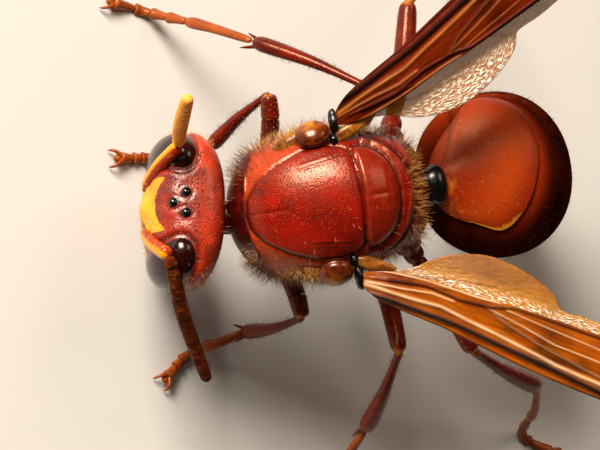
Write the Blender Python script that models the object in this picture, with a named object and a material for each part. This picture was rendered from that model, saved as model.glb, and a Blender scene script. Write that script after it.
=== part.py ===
"""Oriental hornet worker, life size, as one still museum model.

Metres, +Z up. The hornet faces -X and stands on six feet on the plane z = 0. The thorax and all
that it carries are drawn in a body frame (x rearward, y to the hornet's right, z dorsal), which
is pitched nose down, as the insect stands when it bites at food.
"""

import math

import bmesh
import bpy
from mathutils import Euler, Matrix, Vector

MM = 0.001

# The stance: the body frame's pitch, and the place of its origin, which is the thorax centre.
PITCH = math.radians(32)
BODY_ORIGIN = Vector((-3.01, -0.045, 7.2)) * MM
GAP = 0.25 * MM

# Driving sizes of the body.
HEAD_WIDTH = 5.8 * MM
THORAX_LENGTH = 7.4 * MM
THORAX_WIDTH = 5.4 * MM
GASTER_LENGTH = 10.6 * MM
GASTER_WIDTH = 6.0 * MM
WING_THICKNESS = 0.5 * MM
VEIN_HEIGHT = 0.14 * MM
WAIST_RADIUS = 0.55 * MM
FEELER_RADIUS = 0.27 * MM

# The head's pose in the body frame: its centre, its turn to its right, and its roll.
HEAD_CENTRE = Vector((-5.2, 0.5, 0.1)) * MM
HEAD_YAW = math.radians(-9.7)
HEAD_ROLL = math.radians(12)

# The petiole and the gaster's axis, as angles below the body frame's x axis.
PETIOLE = Vector((4.15, 0.0, -1.3)) * MM
GASTER_START_ANGLE = math.radians(74)
GASTER_END_ANGLE = math.radians(82)

# Finishes: base colour, metallic, roughness.
FINISHES = {
    "red_cuticle": ((0.36, 0.045, 0.018), 0.0, 0.3),
    "dark_cuticle": ((0.05, 0.016, 0.01), 0.0, 0.32),
    "yellow_cuticle": ((0.85, 0.47, 0.03), 0.0, 0.4),
    "orange_cuticle": ((0.62, 0.2, 0.03), 0.0, 0.35),
    "eye_black": ((0.012, 0.008, 0.008), 0.0, 0.08),
    "wing_amber": ((0.4, 0.14, 0.03), 0.0, 0.25),
    "wing_pale": ((0.66, 0.42, 0.18), 0.0, 0.3),
}


def clear_scene():
    for obj in list(bpy.data.objects):
        bpy.data.objects.remove(obj)


def make_finish(name):
    """A Principled material with the sub-part's colour, roughness and metallic value."""
    if name in bpy.data.materials:
        return bpy.data.materials[name]
    colour, metallic, roughness = FINISHES[name]
    material = bpy.data.materials.new(name)
    material.use_nodes = True
    shader = material.node_tree.nodes["Principled BSDF"]
    shader.inputs["Base Color"].default_value = (*colour, 1.0)
    shader.inputs["Metallic"].default_value = metallic
    shader.inputs["Roughness"].default_value = roughness
    return material


def place_matrix(x=0.0, y=0.0, z=0.0):
    return Matrix.Translation(Vector((x, y, z)))


BODY_FRAME = Matrix.Translation(BODY_ORIGIN) @ Matrix.Rotation(-PITCH, 4, "Y")
HEAD_FRAME = (
    BODY_FRAME
    @ Matrix.Translation(HEAD_CENTRE)
    @ Matrix.Rotation(HEAD_YAW, 4, "Z")
    @ Matrix.Rotation(-HEAD_ROLL, 4, "X")
)


def body_point(x, y, z):
    """The world place of a point given in millimetres in the body frame."""
    return BODY_FRAME @ (Vector((x, y, z)) * MM)


def head_point(x, y, z):
    """The world place of a point given in millimetres in the head's own frame."""
    return HEAD_FRAME @ (Vector((x, y, z)) * MM)


def make_object(name, mesh, finish, matrix=None):
    """A named object with its mesh moved into the world and shaded smooth between sharp edges."""
    if matrix is not None:
        mesh.transform(matrix)
    mesh.materials.clear()
    mesh.materials.append(make_finish(finish))
    mesh.shade_smooth()
    mesh.set_sharp_from_angle(angle=math.radians(40))
    obj = bpy.data.objects.new(name, mesh)
    bpy.context.scene.collection.objects.link(obj)
    return obj


def loft_mesh(name, rings):
    """One closed surface through rings of equal count, with a fan of triangles on each end."""
    bm = bmesh.new()
    rows = [[bm.verts.new(point) for point in ring] for ring in rings]
    count = len(rows[0])
    for first, second in zip(rows, rows[1:]):
        for i in range(count):
            j = (i + 1) % count
            bm.faces.new((first[i], first[j], second[j], second[i]))
    for row, turned in ((rows[0], True), (rows[-1], False)):
        middle = bm.verts.new(sum((v.co for v in row), Vector()) / count)
        for i in range(count):
            pair = (row[i], row[(i + 1) % count])
            bm.faces.new((middle, *(reversed(pair) if turned else pair)))
    bmesh.ops.recalc_face_normals(bm, faces=bm.faces)
    mesh = bpy.data.meshes.new(name)
    bm.to_mesh(mesh)
    bm.free()
    return mesh


def superellipse(half_width, up, down, exponent, sides):
    """(across, up) pairs round a section whose upper and lower halves have their own height."""
    pairs = []
    for i in range(sides):
        angle = math.tau * i / sides
        c, s = math.cos(angle), math.sin(angle)
        across = math.copysign(abs(c) ** (2 / exponent), c) * half_width
        rise = math.copysign(abs(s) ** (2 / exponent), s) * (up if s > 0 else down)
        pairs.append((across, rise))
    return pairs


def boolean(target, other, operation, solver="EXACT"):
    """Applies one Boolean to the target and removes the other object."""
    modifier = target.modifiers.new("cut", "BOOLEAN")
    modifier.operation = operation
    modifier.solver = solver
    modifier.object = other
    graph = bpy.context.evaluated_depsgraph_get()
    result = bpy.data.meshes.new_from_object(target.evaluated_get(graph))
    target.modifiers.clear()
    target.data = result
    bpy.data.objects.remove(other)
    keep_largest_shell(target)


def fuse(target, pieces):
    """Joins closed pieces to the target with one Boolean union on their collection."""
    collection = bpy.data.collections.new(target.name + "_pieces")
    for piece in pieces:
        bpy.context.scene.collection.objects.unlink(piece)
        collection.objects.link(piece)
    modifier = target.modifiers.new("join", "BOOLEAN")
    modifier.operation = "UNION"
    modifier.solver = "EXACT"
    modifier.operand_type = "COLLECTION"
    modifier.collection = collection
    graph = bpy.context.evaluated_depsgraph_get()
    result = bpy.data.meshes.new_from_object(target.evaluated_get(graph))
    target.modifiers.clear()
    target.data = result
    for piece in pieces:
        bpy.data.objects.remove(piece)
    bpy.data.collections.remove(collection)
    keep_largest_shell(target)


def keep_largest_shell(obj):
    """Drops every loose scrap, so that one closed surface is left."""
    bm = bmesh.new()
    bm.from_mesh(obj.data)
    left = set(bm.faces)
    shells = []
    while left:
        stack = [left.pop()]
        shell = []
        while stack:
            face = stack.pop()
            shell.append(face)
            for edge in face.edges:
                for near in edge.link_faces:
                    if near in left:
                        left.discard(near)
                        stack.append(near)
        shells.append(shell)
    largest = max(shells, key=len)
    extra = [face for shell in shells if shell is not largest for face in shell]
    if extra:
        bmesh.ops.delete(bm, geom=extra, context="FACES")
    bm.to_mesh(obj.data)
    bm.free()


def smooth_path(points, steps):
    """Points of a smooth curve through the given points, with the share of its length at each."""
    padded = [points[0] * 2 - points[1], *points, points[-1] * 2 - points[-2]]
    found = []
    for i in range(1, len(padded) - 2):
        a, b, c, d = padded[i - 1 : i + 3]
        for k in range(steps):
            t = k / steps
            found.append(
                0.5 * (2 * b + (c - a) * t + (2 * a - 5 * b + 4 * c - d) * t * t
                       + (3 * b - a - 3 * c + d) * t**3)
            )
    found.append(points[-1].copy())
    lengths = [0.0]
    for first, second in zip(found, found[1:]):
        lengths.append(lengths[-1] + (second - first).length)
    return found, lengths


def point_at(path, lengths, distance):
    """The point and direction at a distance along the path."""
    for i in range(1, len(path)):
        if distance <= lengths[i] or i == len(path) - 1:
            span = lengths[i] - lengths[i - 1]
            share = (distance - lengths[i - 1]) / span
            direction = (path[i] - path[i - 1]).normalized()
            return path[i - 1].lerp(path[i], share), direction


def limb_mesh(name, points, radius, profile, sides=8, depth=1.0, side_hint=None, on_floor=False,
              start_gap=GAP / 2, end_gap=GAP / 2):
    """A rounded, tapered limb segment along a smooth path.

    The profile holds (share of the length, share of the radius) pairs. depth is the section's
    thickness across the side hint as a share of its width. A segment on the floor has what is
    below z = 0 pressed flat onto it.
    """
    path, lengths = smooth_path(points, 6)
    total = lengths[-1] - start_gap - end_gap
    hint = side_hint or Vector((0, 0, 1))
    rings = []
    for share, scale in profile:
        centre, direction = point_at(path, lengths, start_gap + total * share)
        across = direction.cross(hint).normalized()
        upward = across.cross(direction).normalized()
        ring = []
        for i in range(sides):
            angle = math.tau * i / sides
            offset = across * math.cos(angle) + upward * math.sin(angle) * depth
            point = centre + offset * radius * scale
            if on_floor:
                point.z = max(point.z, 0.0)
            ring.append(point)
        rings.append(ring)
    return loft_mesh(name, rings)


# Thorax

# (x share, half width share, top, bottom) of the thorax loft. Top and bottom are in millimetres.
THORAX_STATIONS = (
    (-0.505, 0.22, 0.35, -0.75),
    (-0.480, 0.40, 0.95, -1.15),
    (-0.430, 0.62, 1.55, -1.6),
    (-0.350, 0.81, 2.05, -2.05),
    (-0.245, 0.925, 2.4, -2.4),
    (-0.120, 0.99, 2.62, -2.6),
    (0.000, 1.0, 2.7, -2.68),
    (0.100, 0.95, 2.66, -2.62),
    (0.128, 0.93, 2.5, -2.58),
    (0.150, 0.91, 2.56, -2.55),
    (0.220, 0.86, 2.5, -2.45),
    (0.290, 0.80, 2.22, -2.35),
    (0.315, 0.78, 2.0, -2.3),
    (0.345, 0.75, 1.95, -2.25),
    (0.395, 0.67, 1.5, -2.05),
    (0.440, 0.55, 0.6, -1.85),
    (0.475, 0.38, -0.25, -1.7),
    (0.492, 0.20, -0.75, -1.6),
)
THORAX_EXPONENT = 2.15
THORAX_SIDES = 28


def thorax_mesh(grow=0.0):
    """The whole thorax as one loft, swollen by grow where a neighbour is cut clear of it."""
    rings = []
    for index, (place, width, top, bottom) in enumerate(THORAX_STATIONS):
        x = place * THORAX_LENGTH
        if index == 0:
            x -= grow
        elif index == len(THORAX_STATIONS) - 1:
            x += grow
        middle = (top + bottom) / 2 * MM
        half = (top - bottom) / 2 * MM + grow
        pairs = superellipse(width * THORAX_WIDTH / 2 + grow, half, half, THORAX_EXPONENT,
                             THORAX_SIDES)
        rings.append([Vector((x, y, middle + z)) for y, z in pairs])
    return loft_mesh("thorax", rings)


def box_mesh(low, high):
    bm = bmesh.new()
    bmesh.ops.create_cube(bm, size=1.0)
    size = [b - a for a, b in zip(low, high)]
    centre = [(a + b) / 2 for a, b in zip(low, high)]
    for vert in bm.verts:
        vert.co = Vector([v * s + c for v, s, c in zip(vert.co, size, centre)])
    mesh = bpy.data.meshes.new("box")
    bm.to_mesh(mesh)
    bm.free()
    return mesh


def helper(mesh, matrix):
    """An object that only cuts or joins."""
    mesh.transform(matrix)
    obj = bpy.data.objects.new("helper", mesh)
    obj.hide_render = True
    bpy.context.scene.collection.objects.link(obj)
    return obj


# The scutum seen from above is an ogive, whose rear end is open into the thorax.
SCUTUM_OUTLINE = ((-3.02, 0.0), (-2.94, 0.5), (-2.5, 1.06), (-1.7, 1.58), (-0.75, 1.95), (0.4, 1.98))
# The pronotum's rear edge on the thorax's side: from below the tegula down to the fore leg.
SIDE_SEAM_TOP = Vector((-0.35, 0.0, 1.5)) * MM
SIDE_SEAM_FOOT = Vector((-2.35, 0.0, -2.3)) * MM


def ogive_prism(grow):
    """A tall prism over the scutum, swollen by grow, that starts above the thorax's middle."""
    side = [Vector((x * MM, y * MM, 0)) for x, y in SCUTUM_OUTLINE]
    swollen = []
    for x, y in SCUTUM_OUTLINE:
        if y == 0:
            swollen.append(Vector((x * MM - grow * 1.2, 0, 0)))
        else:
            swollen.append(Vector((x * MM - grow * 0.45, y * MM + grow * 0.9, 0)))
    swollen[-1].x = side[-1].x
    outline = swollen + [Vector((p.x, -p.y, 0)) for p in reversed(swollen[1:])]
    bm = bmesh.new()
    low = [bm.verts.new(p + Vector((0, 0, 0.2 * MM - grow))) for p in outline]
    high = [bm.verts.new(p + Vector((0, 0, 5 * MM))) for p in outline]
    bm.faces.new(low)
    bm.faces.new(high)
    for i in range(len(low)):
        j = (i + 1) % len(low)
        bm.faces.new((low[i], low[j], high[j], high[i]))
    bmesh.ops.recalc_face_normals(bm, faces=bm.faces)
    mesh = bpy.data.meshes.new("ogive")
    bm.to_mesh(mesh)
    bm.free()
    return mesh


def front_block(shift):
    """A big block in front of the slanting side seam, moved forward by shift."""
    slope = SIDE_SEAM_TOP - SIDE_SEAM_FOOT
    lean = math.atan2(slope.x, slope.z)
    middle = (SIDE_SEAM_TOP + SIDE_SEAM_FOOT) / 2
    mesh = box_mesh((-12 * MM, -6 * MM, -9 * MM), (-shift, 6 * MM, 9 * MM))
    mesh.transform(Matrix.Translation(middle) @ Matrix.Rotation(lean, 4, "Y"))
    return mesh


REAR_SEAM = 0.302 * THORAX_LENGTH
REAR_SEAM_LEAN = math.radians(-14)


def rear_block(shift):
    """A big block behind the seam between the scutellum and the last part of the thorax."""
    mesh = box_mesh((shift, -6 * MM, -9 * MM), (12 * MM, 6 * MM, 9 * MM))
    mesh.transform(place_matrix(REAR_SEAM) @ Matrix.Rotation(REAR_SEAM_LEAN, 4, "Y"))
    return mesh


def make_thorax():
    """The pronotum, the middle thorax with its scutum and scutellum, and the propodeum."""
    pronotum = make_object("pronotum", thorax_mesh(), "red_cuticle", BODY_FRAME)
    boolean(pronotum, helper(front_block(GAP / 2), BODY_FRAME), "INTERSECT")
    boolean(pronotum, helper(ogive_prism(GAP / 2), BODY_FRAME), "DIFFERENCE")
    fuse(pronotum, [helper(neck_mesh(), Matrix())])

    middle = make_object("mesothorax", thorax_mesh(), "red_cuticle", BODY_FRAME)
    keep = helper(front_block(-GAP / 2), BODY_FRAME)
    boolean(keep, helper(ogive_prism(-GAP / 2), BODY_FRAME), "DIFFERENCE")
    boolean(middle, keep, "DIFFERENCE")
    boolean(middle, helper(rear_block(-GAP / 2), BODY_FRAME), "DIFFERENCE")

    propodeum = make_object("propodeum", thorax_mesh(), "red_cuticle", BODY_FRAME)
    boolean(propodeum, helper(rear_block(GAP / 2), BODY_FRAME), "INTERSECT")
    boolean(propodeum, helper(waist_mesh(GAP), Matrix()), "DIFFERENCE")
    return pronotum, middle, propodeum


def cut_clear_of_thorax(obj):
    """Leaves the standard gap between an object's root and the thorax that carries it."""
    boolean(obj, helper(thorax_mesh(GAP), BODY_FRAME), "DIFFERENCE")


# Head

# (z, half width share, front, rear) of the head's level sections, in millimetres from its centre.
HEAD_STATIONS = (
    (-2.55, 0.36, -0.78, 0.0),
    (-2.3, 0.50, -1.1, 0.35),
    (-1.8, 0.66, -1.42, 0.7),
    (-1.1, 0.84, -1.5, 1.05),
    (-0.35, 0.96, -1.45, 1.34),
    (0.35, 1.0, -1.4, 1.48),
    (0.95, 0.95, -1.22, 1.52),
    (1.35, 0.83, -0.98, 1.38),
    (1.62, 0.64, -0.68, 1.1),
    (1.78, 0.38, -0.35, 0.72),
    (1.83, 0.14, -0.05, 0.3),
)
HEAD_SIDES = 32
HEAD_EXPONENT = 2.35
EYE_CENTRE = (-0.36, 1.72, 0.05)
EYE_RADII = (0.94, 1.12, 1.84)
EYE_LEAN = math.radians(15)
OCELLI = ((-0.42, 0.0, 1.66), (0.05, 0.37, 1.72), (0.05, -0.37, 1.72))
OCELLUS_RADIUS = 0.2
SOCKET = (-1.45, 0.75, 0.35)


def head_mesh(grow=0.0):
    """The head capsule as a stack of level sections, with the face to the front."""
    rings = []
    last = len(HEAD_STATIONS) - 1
    for index, (z, width, front, rear) in enumerate(HEAD_STATIONS):
        level = z * MM + (grow if index == last else -grow if index == 0 else 0.0)
        half_depth = (rear - front) / 2 * MM + grow
        middle = (front + rear) / 2 * MM
        pairs = superellipse(width * HEAD_WIDTH / 2 + grow, half_depth, half_depth, HEAD_EXPONENT,
                             HEAD_SIDES)
        rings.append([Vector((middle + x, y, level)) for y, x in pairs])
    return loft_mesh("head", rings)


def ellipsoid_mesh(name, centre, radii, tilt=(0, 0, 0), segments=16, rings=10):
    """An ellipsoid in millimetres, tilted about its three axes."""
    bm = bmesh.new()
    bmesh.ops.create_uvsphere(bm, u_segments=segments, v_segments=rings, radius=1.0)
    mesh = bpy.data.meshes.new(name)
    bm.to_mesh(mesh)
    bm.free()
    scale = Matrix.Diagonal((*(r * MM for r in radii), 1.0))
    turned = Euler(tilt).to_matrix().to_4x4()
    mesh.transform(Matrix.Translation(Vector(centre) * MM) @ turned @ scale)
    return mesh


def eye_mesh(side, grow=0.0):
    """One compound eye, tall and narrow, on the side of the face."""
    x, y, z = EYE_CENTRE
    radii = [r + grow / MM for r in EYE_RADII]
    return ellipsoid_mesh("eye", (x, y * side, z), radii, (0, EYE_LEAN, 0))


NECK_PATH = ((-3.2, 0.0, -0.3), (-3.75, 0.08, -0.25), (-4.45, 0.22, -0.2))
NECK_RADIUS = 0.6 * MM


def neck_mesh(grow=0.0):
    """The short neck that runs from the pronotum into the back of the head."""
    points = [body_point(*p) for p in NECK_PATH]
    profile = ((0.0, 1.0), (0.5, 1.0), (1.0, 1.0))
    return limb_mesh("neck", points, NECK_RADIUS + grow, profile, 12, start_gap=0, end_gap=-grow)


def make_head():
    """The capsule with its ocelli and the socket of the neck, and the two eyes in theirs."""
    head = make_object("head", head_mesh(), "red_cuticle", HEAD_FRAME)
    cut_clear_of_thorax(head)
    boolean(head, helper(neck_mesh(GAP), Matrix()), "DIFFERENCE")
    for side in (1, -1):
        boolean(head, helper(eye_mesh(side, GAP), HEAD_FRAME), "DIFFERENCE")
    ocelli = [
        helper(ellipsoid_mesh("ocellus", place, (OCELLUS_RADIUS,) * 3, (0, 0, 0), 8, 6), HEAD_FRAME)
        for place in OCELLI
    ]
    fuse(head, ocelli)
    for side, word in ((1, "right"), (-1, "left")):
        make_object(f"eye_{word}", eye_mesh(side), "eye_black", HEAD_FRAME)
    return head


MANDIBLE_PATH = ((-0.72, 1.35, -2.15), (-1.05, 1.35, -2.8), (-1.15, 0.95, -3.35), (-1.15, 0.42, -3.62))
MANDIBLE_PROFILE = ((0.0, 0.9), (0.15, 1.0), (0.45, 0.95), (0.75, 0.8), (0.92, 0.55), (1.0, 0.25))
MANDIBLE_RADIUS = 0.46 * MM


def make_mandible(side, word):
    """A thick jaw, hinged at the cheek, whose toothed end bends inwards below the face."""
    points = [head_point(x, y * side, z) for x, y, z in MANDIBLE_PATH]
    mesh = limb_mesh("mandible", points, MANDIBLE_RADIUS, MANDIBLE_PROFILE, 10, 0.62,
                     HEAD_FRAME.to_3x3() @ Vector((1, 0, 0)), start_gap=0, end_gap=0)
    mandible = make_object(f"mandible_{word}", mesh, "orange_cuticle")
    boolean(mandible, helper(head_mesh(GAP), HEAD_FRAME), "DIFFERENCE")


def make_tongue():
    """The maxillae and labium, folded together below the back of the face."""
    points = [head_point(*p) for p in ((0.0, 0, -2.2), (0.05, 0, -2.9), (-0.15, 0, -3.3))]
    profile = ((0.0, 1.0), (0.4, 1.0), (0.8, 0.75), (1.0, 0.4))
    mesh = limb_mesh("tongue", points, 0.5 * MM, profile, 8, 0.6,
                     HEAD_FRAME.to_3x3() @ Vector((1, 0, 0)), start_gap=0, end_gap=0)
    tongue = make_object("mouthparts", mesh, "orange_cuticle")
    boolean(tongue, helper(head_mesh(GAP), HEAD_FRAME), "DIFFERENCE")


# Each antenna in the head's frame: the scape from its socket, then the flagellum from the elbow.
SCAPE_ENDS = {"right": (-0.1, 1.98, 2.25), "left": (-0.46, -2.0, 2.25)}
FLAGELLUM_PATHS = {
    "right": ((-0.12, 2.1, 2.5), (-0.08, 2.2, 3.4), (0.05, 2.32, 4.9), (0.29, 2.58, 6.9)),
    "left": ((-0.42, -2.2, 2.3), (-0.24, -2.85, 1.8), (0.06, -3.92, 0.62), (0.6, -5.81, -1.54)),
}
SCAPE_PROFILE = ((0.0, 0.85), (0.1, 1.0), (0.6, 1.0), (0.9, 1.12), (1.0, 0.7))
FLAGELLUM_PROFILE = ((0.0, 0.6), (0.04, 0.95), (0.1, 0.85), (0.16, 1.0), (0.5, 1.06), (0.8, 1.0),
                     (0.94, 0.8), (1.0, 0.35))


def make_antenna(side, word):
    """The scape, and the pedicel and flagellum as one curved feeler."""
    x, y, z = SOCKET
    start = head_point(x, y * side, z)
    end = head_point(*SCAPE_ENDS[word])
    out = HEAD_FRAME.to_3x3() @ Vector((-1.0, 0.35 * side, 0.55))
    knee = start.lerp(end, 0.5) + out.normalized() * 0.5 * MM
    mesh = limb_mesh("scape", [start, knee, end], FEELER_RADIUS, SCAPE_PROFILE, 8, start_gap=0)
    scape = make_object(f"antenna_{word}_scape", mesh, "orange_cuticle")
    boolean(scape, helper(head_mesh(GAP), HEAD_FRAME), "DIFFERENCE")
    boolean(scape, helper(eye_mesh(side, GAP), HEAD_FRAME), "DIFFERENCE")

    points = [head_point(*p) for p in FLAGELLUM_PATHS[word]]
    mesh = limb_mesh("flagellum", points, FEELER_RADIUS, FLAGELLUM_PROFILE, 8)
    make_object(f"antenna_{word}_flagellum", mesh, "orange_cuticle")


# Gaster

# (share of the length, half height share, rise of the centre) of the gaster's sections.
GASTER_STATIONS = (
    (0.000, 0.16, 0.00),
    (0.022, 0.30, 0.36),
    (0.050, 0.51, 0.76),
    (0.090, 0.73, 0.98),
    (0.140, 0.90, 1.04),
    (0.215, 0.965, 1.09),
    (0.300, 0.99, 1.10),
    (0.400, 1.00, 1.09),
    (0.500, 0.97, 1.04),
    (0.590, 0.90, 0.97),
    (0.680, 0.79, 0.90),
    (0.760, 0.66, 0.74),
    (0.840, 0.51, 0.56),
    (0.910, 0.36, 0.38),
    (0.965, 0.22, 0.24),
    (1.000, 0.08, 0.15),
)
GASTER_HEIGHT_SHARE = 0.9
# Where one segment's hind edge laps over the next one, as shares of the length.
SEGMENT_EDGES = (0.105, 0.47, 0.65, 0.79, 0.9)
SEGMENT_STEP = 0.07 * MM
GASTER_SIDES = 28


def gaster_axis(share):
    """The point and slope of the gaster's curved axis at a share of its length."""
    steps = 40
    point = PETIOLE.copy()
    for i in range(steps):
        here = share * (i + 0.5) / steps
        angle = GASTER_START_ANGLE + (GASTER_END_ANGLE - GASTER_START_ANGLE) * here
        point += Vector((math.cos(angle), 0, -math.sin(angle))) * GASTER_LENGTH * share / steps
    return point, GASTER_START_ANGLE + (GASTER_END_ANGLE - GASTER_START_ANGLE) * share


def between(table, share):
    """Values of a station table at a share, by straight steps."""
    for first, second in zip(table, table[1:]):
        if share <= second[0]:
            t = (share - first[0]) / (second[0] - first[0])
            return [a + (b - a) * t for a, b in zip(first[1:], second[1:])]
    return list(table[-1][1:])


def gaster_ring(share, swell=0.0):
    """One section of the gaster, square to its axis."""
    height, rise = between(GASTER_STATIONS, share)
    point, angle = gaster_axis(share)
    back = Vector((math.sin(angle), 0, math.cos(angle)))
    centre = point + back * rise * MM
    half_width = height * GASTER_WIDTH / 2 + swell
    half_height = height * GASTER_WIDTH / 2 * GASTER_HEIGHT_SHARE + swell
    pairs = superellipse(half_width, half_height, half_height, 2.1, GASTER_SIDES)
    return [centre + back * z + Vector((0, y, 0)) for y, z in pairs]


def waist_mesh(grow=0.0):
    """The petiole: the short waist that enters a socket in the thorax's rear."""
    points = [body_point(3.0, 0, -1.1), body_point(3.75, 0, -1.2), body_point(4.7, 0, -1.75)]
    profile = ((0.0, 0.95), (0.5, 0.9), (1.0, 1.0))
    return limb_mesh("waist", points, WAIST_RADIUS + grow, profile, 12, side_hint=Vector((0, 1, 0)),
                     start_gap=-grow, end_gap=0)


def make_gaster():
    """Six telescoped segments. Each one's hind edge stands a little proud of the next."""
    starts = (0.0, *SEGMENT_EDGES)
    ends = (*SEGMENT_EDGES, 1.0)
    finishes = ("red_cuticle", "dark_cuticle", "yellow_cuticle", "yellow_cuticle", "dark_cuticle",
                "dark_cuticle")
    half_gap = GAP / 2 / GASTER_LENGTH
    for number, (start, end, finish) in enumerate(zip(starts, ends, finishes), 1):
        first = start + (half_gap if number > 1 else 0.0)
        last = end - (half_gap if number < len(starts) else 0.0)
        inner = [s[0] for s in GASTER_STATIONS if first + 0.012 < s[0] < last - 0.012]
        shares = [first, *inner, last]
        if number == len(starts):
            shares = [first, *inner, 1.0]
        rings = []
        for share in shares:
            swell = 0.0
            if number < len(starts):
                swell = SEGMENT_STEP * max(0.0, (share - first) / (last - first)) ** 2
            rings.append(gaster_ring(share, swell))
        mesh = loft_mesh("segment", rings)
        segment = make_object(f"gaster_{number}", mesh, finish, BODY_FRAME)
        if number == 1:
            cut_clear_of_thorax(segment)
            fuse(segment, [helper(waist_mesh(), Matrix())])


# Legs. Each has its joints in millimetres in the body frame, then its foot on the floor in
# millimetres in the world frame, measured from the body origin.
LEGS = {
    "fore_right": {
        "root": (-2.3, 0.85, -1.6), "trochanter": (-2.0, 2.0, -3.0), "knee": (-1.5, 4.25, -2.3),
        "ankle": (-3.95, 2.75, -3.9), "foot": ((-2.9, 2.75), (-4.2, 2.9)), "size": "fore"},
    "fore_left": {
        "root": (-2.3, -0.85, -1.6), "trochanter": (-2.1, -1.9, -3.0), "knee": (-1.65, -3.95, -2.3),
        "ankle": (-3.9, -4.15, -4.15), "foot": ((-2.7, -4.6), (-3.8, -5.3)), "size": "fore"},
    "mid_right": {
        "root": (0.75, 1.1, -1.8), "trochanter": (1.1, 2.1, -3.7), "knee": (2.25, 3.7, -0.1),
        "ankle": (-1.75, 6.24, -1.9), "foot": ((-2.0, 8.05), (-3.4, 8.6)), "size": "mid"},
    "mid_left": {
        "root": (0.75, -1.1, -1.8), "trochanter": (1.2, -2.3, -3.3), "knee": (1.6, -5.7, -1.0),
        "ankle": (-0.1, -8.45, -4.0), "foot": ((1.5, -10.6), (0.6, -11.4)), "size": "mid"},
    "hind_right": {
        "root": (2.2, 1.0, -1.7), "trochanter": (2.75, 2.5, -3.1), "knee": (4.1, 6.75, -3.7),
        "ankle": (6.3, 8.6, -7.7), "foot": ((11.1, 10.6), (12.3, 11.5)), "size": "hind"},
    "hind_left": {
        "root": (2.2, -1.0, -1.7), "trochanter": (2.75, -2.4, -3.1), "knee": (4.3, -6.25, -3.8),
        "ankle": (6.6, -8.1, -7.7), "foot": ((11.3, -10.0), (12.5, -10.9)), "size": "hind"},
}
# Radii of each pair's coxa, femur, tibia and tarsus.
LEG_RADII = {
    "fore": (0.5, 0.34, 0.3, 0.25),
    "mid": (0.52, 0.34, 0.3, 0.25),
    "hind": (0.56, 0.38, 0.34, 0.25),
}
COXA_PROFILE = ((0.0, 1.0), (0.45, 1.08), (0.68, 0.85), (0.78, 0.62), (0.9, 0.7), (1.0, 0.5))
FEMUR_PROFILE = ((0.0, 0.5), (0.05, 0.68), (0.25, 0.9), (0.5, 1.0), (0.8, 1.02), (0.95, 0.86), (1.0, 0.5))
TIBIA_PROFILE = ((0.0, 0.5), (0.05, 0.74), (0.16, 0.72), (0.5, 0.92), (0.85, 1.06), (0.96, 1.0), (1.0, 0.7))
# The long first joint of the foot, then four short ones, each narrow where it meets the next.
TARSUS_PROFILE = ((0.0, 0.7), (0.03, 0.96), (0.46, 1.08), (0.485, 0.92), (0.61, 1.04), (0.632, 0.9),
                  (0.73, 1.04), (0.752, 0.9), (0.83, 1.04), (0.852, 0.9), (0.97, 1.1), (1.0, 0.7))
TARSUS_REST = 0.22 * MM
CLAW_RADIUS = 0.12 * MM


def claw_mesh(tip, ahead, across):
    """A small hooked claw that lies on the floor beside the foot's middle line."""
    start = tip - ahead * 0.25 * MM
    points = [start, tip + (ahead * 0.22 + across * 0.26) * MM, tip + (ahead * 0.42 + across * 0.3) * MM]
    profile = ((0.0, 1.0), (0.5, 0.95), (0.85, 0.6), (1.0, 0.3))
    return limb_mesh("claw", points, CLAW_RADIUS, profile, 6, on_floor=True, start_gap=0, end_gap=0)


def make_segment(name, path, radius, profile, sides):
    mesh = limb_mesh(name, path, radius, profile, sides, depth=0.85)
    return make_object(name, mesh, "red_cuticle")


def cut_clear_of_segment(outer, path, radius, profile, sides):
    """Leaves the gap between a segment's root and the end of the segment that carries it."""
    fatter = [(share, scale + GAP / radius) for share, scale in profile]
    grown = limb_mesh("grown", path, radius, fatter, sides, depth=0.85,
                      start_gap=GAP / 2, end_gap=-GAP / 2)
    boolean(outer, helper(grown, Matrix()), "DIFFERENCE")


def make_leg(name, leg):
    """Coxa with trochanter, femur, tibia, and the five-jointed tarsus with its claws."""
    coxa_radius, femur_radius, tibia_radius, tarsus_radius = (r * MM for r in LEG_RADII[leg["size"]])
    root, trochanter, knee, ankle = (
        body_point(*leg[joint]) for joint in ("root", "trochanter", "knee", "ankle")
    )
    outward = Vector((0, math.copysign(1.0, leg["knee"][1]), 0.25)).normalized()

    path = [root, root.lerp(trochanter, 0.5) + outward * 0.12 * MM, trochanter]
    coxa = make_segment(f"leg_{name}_coxa", path, coxa_radius, COXA_PROFILE, 10)
    cut_clear_of_thorax(coxa)
    inner = (path, coxa_radius, COXA_PROFILE, 10)

    path = [trochanter, trochanter.lerp(knee, 0.5) + Vector((0, 0, 0.22)) * MM, knee]
    femur = make_segment(f"leg_{name}_femur", path, femur_radius, FEMUR_PROFILE, 10)
    cut_clear_of_segment(femur, *inner)
    inner = (path, femur_radius, FEMUR_PROFILE, 10)

    path = [knee, knee.lerp(ankle, 0.5) + outward * 0.12 * MM, ankle]
    tibia = make_segment(f"leg_{name}_tibia", path, tibia_radius, TIBIA_PROFILE, 8)
    cut_clear_of_segment(tibia, *inner)
    inner = (path, tibia_radius, TIBIA_PROFILE, 8)

    touch, tip = (
        Vector((x * MM + BODY_ORIGIN.x, y * MM + BODY_ORIGIN.y, TARSUS_REST))
        for x, y in leg["foot"]
    )
    middle = ankle.lerp(touch, 0.5) + Vector((0, 0, 0.28)) * MM
    mesh = limb_mesh("tarsus", [ankle, middle, touch, tip], tarsus_radius, TARSUS_PROFILE, 8,
                     on_floor=True, end_gap=0)
    tarsus = make_object(f"leg_{name}_tarsus", mesh, "orange_cuticle")
    ahead = (tip - touch).normalized()
    sideways = ahead.cross(Vector((0, 0, 1)))
    claws = [helper(claw_mesh(tip, ahead, sideways * turn), Matrix()) for turn in (1, -1)]
    fuse(tarsus, claws)
    cut_clear_of_segment(tarsus, *inner)


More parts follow.
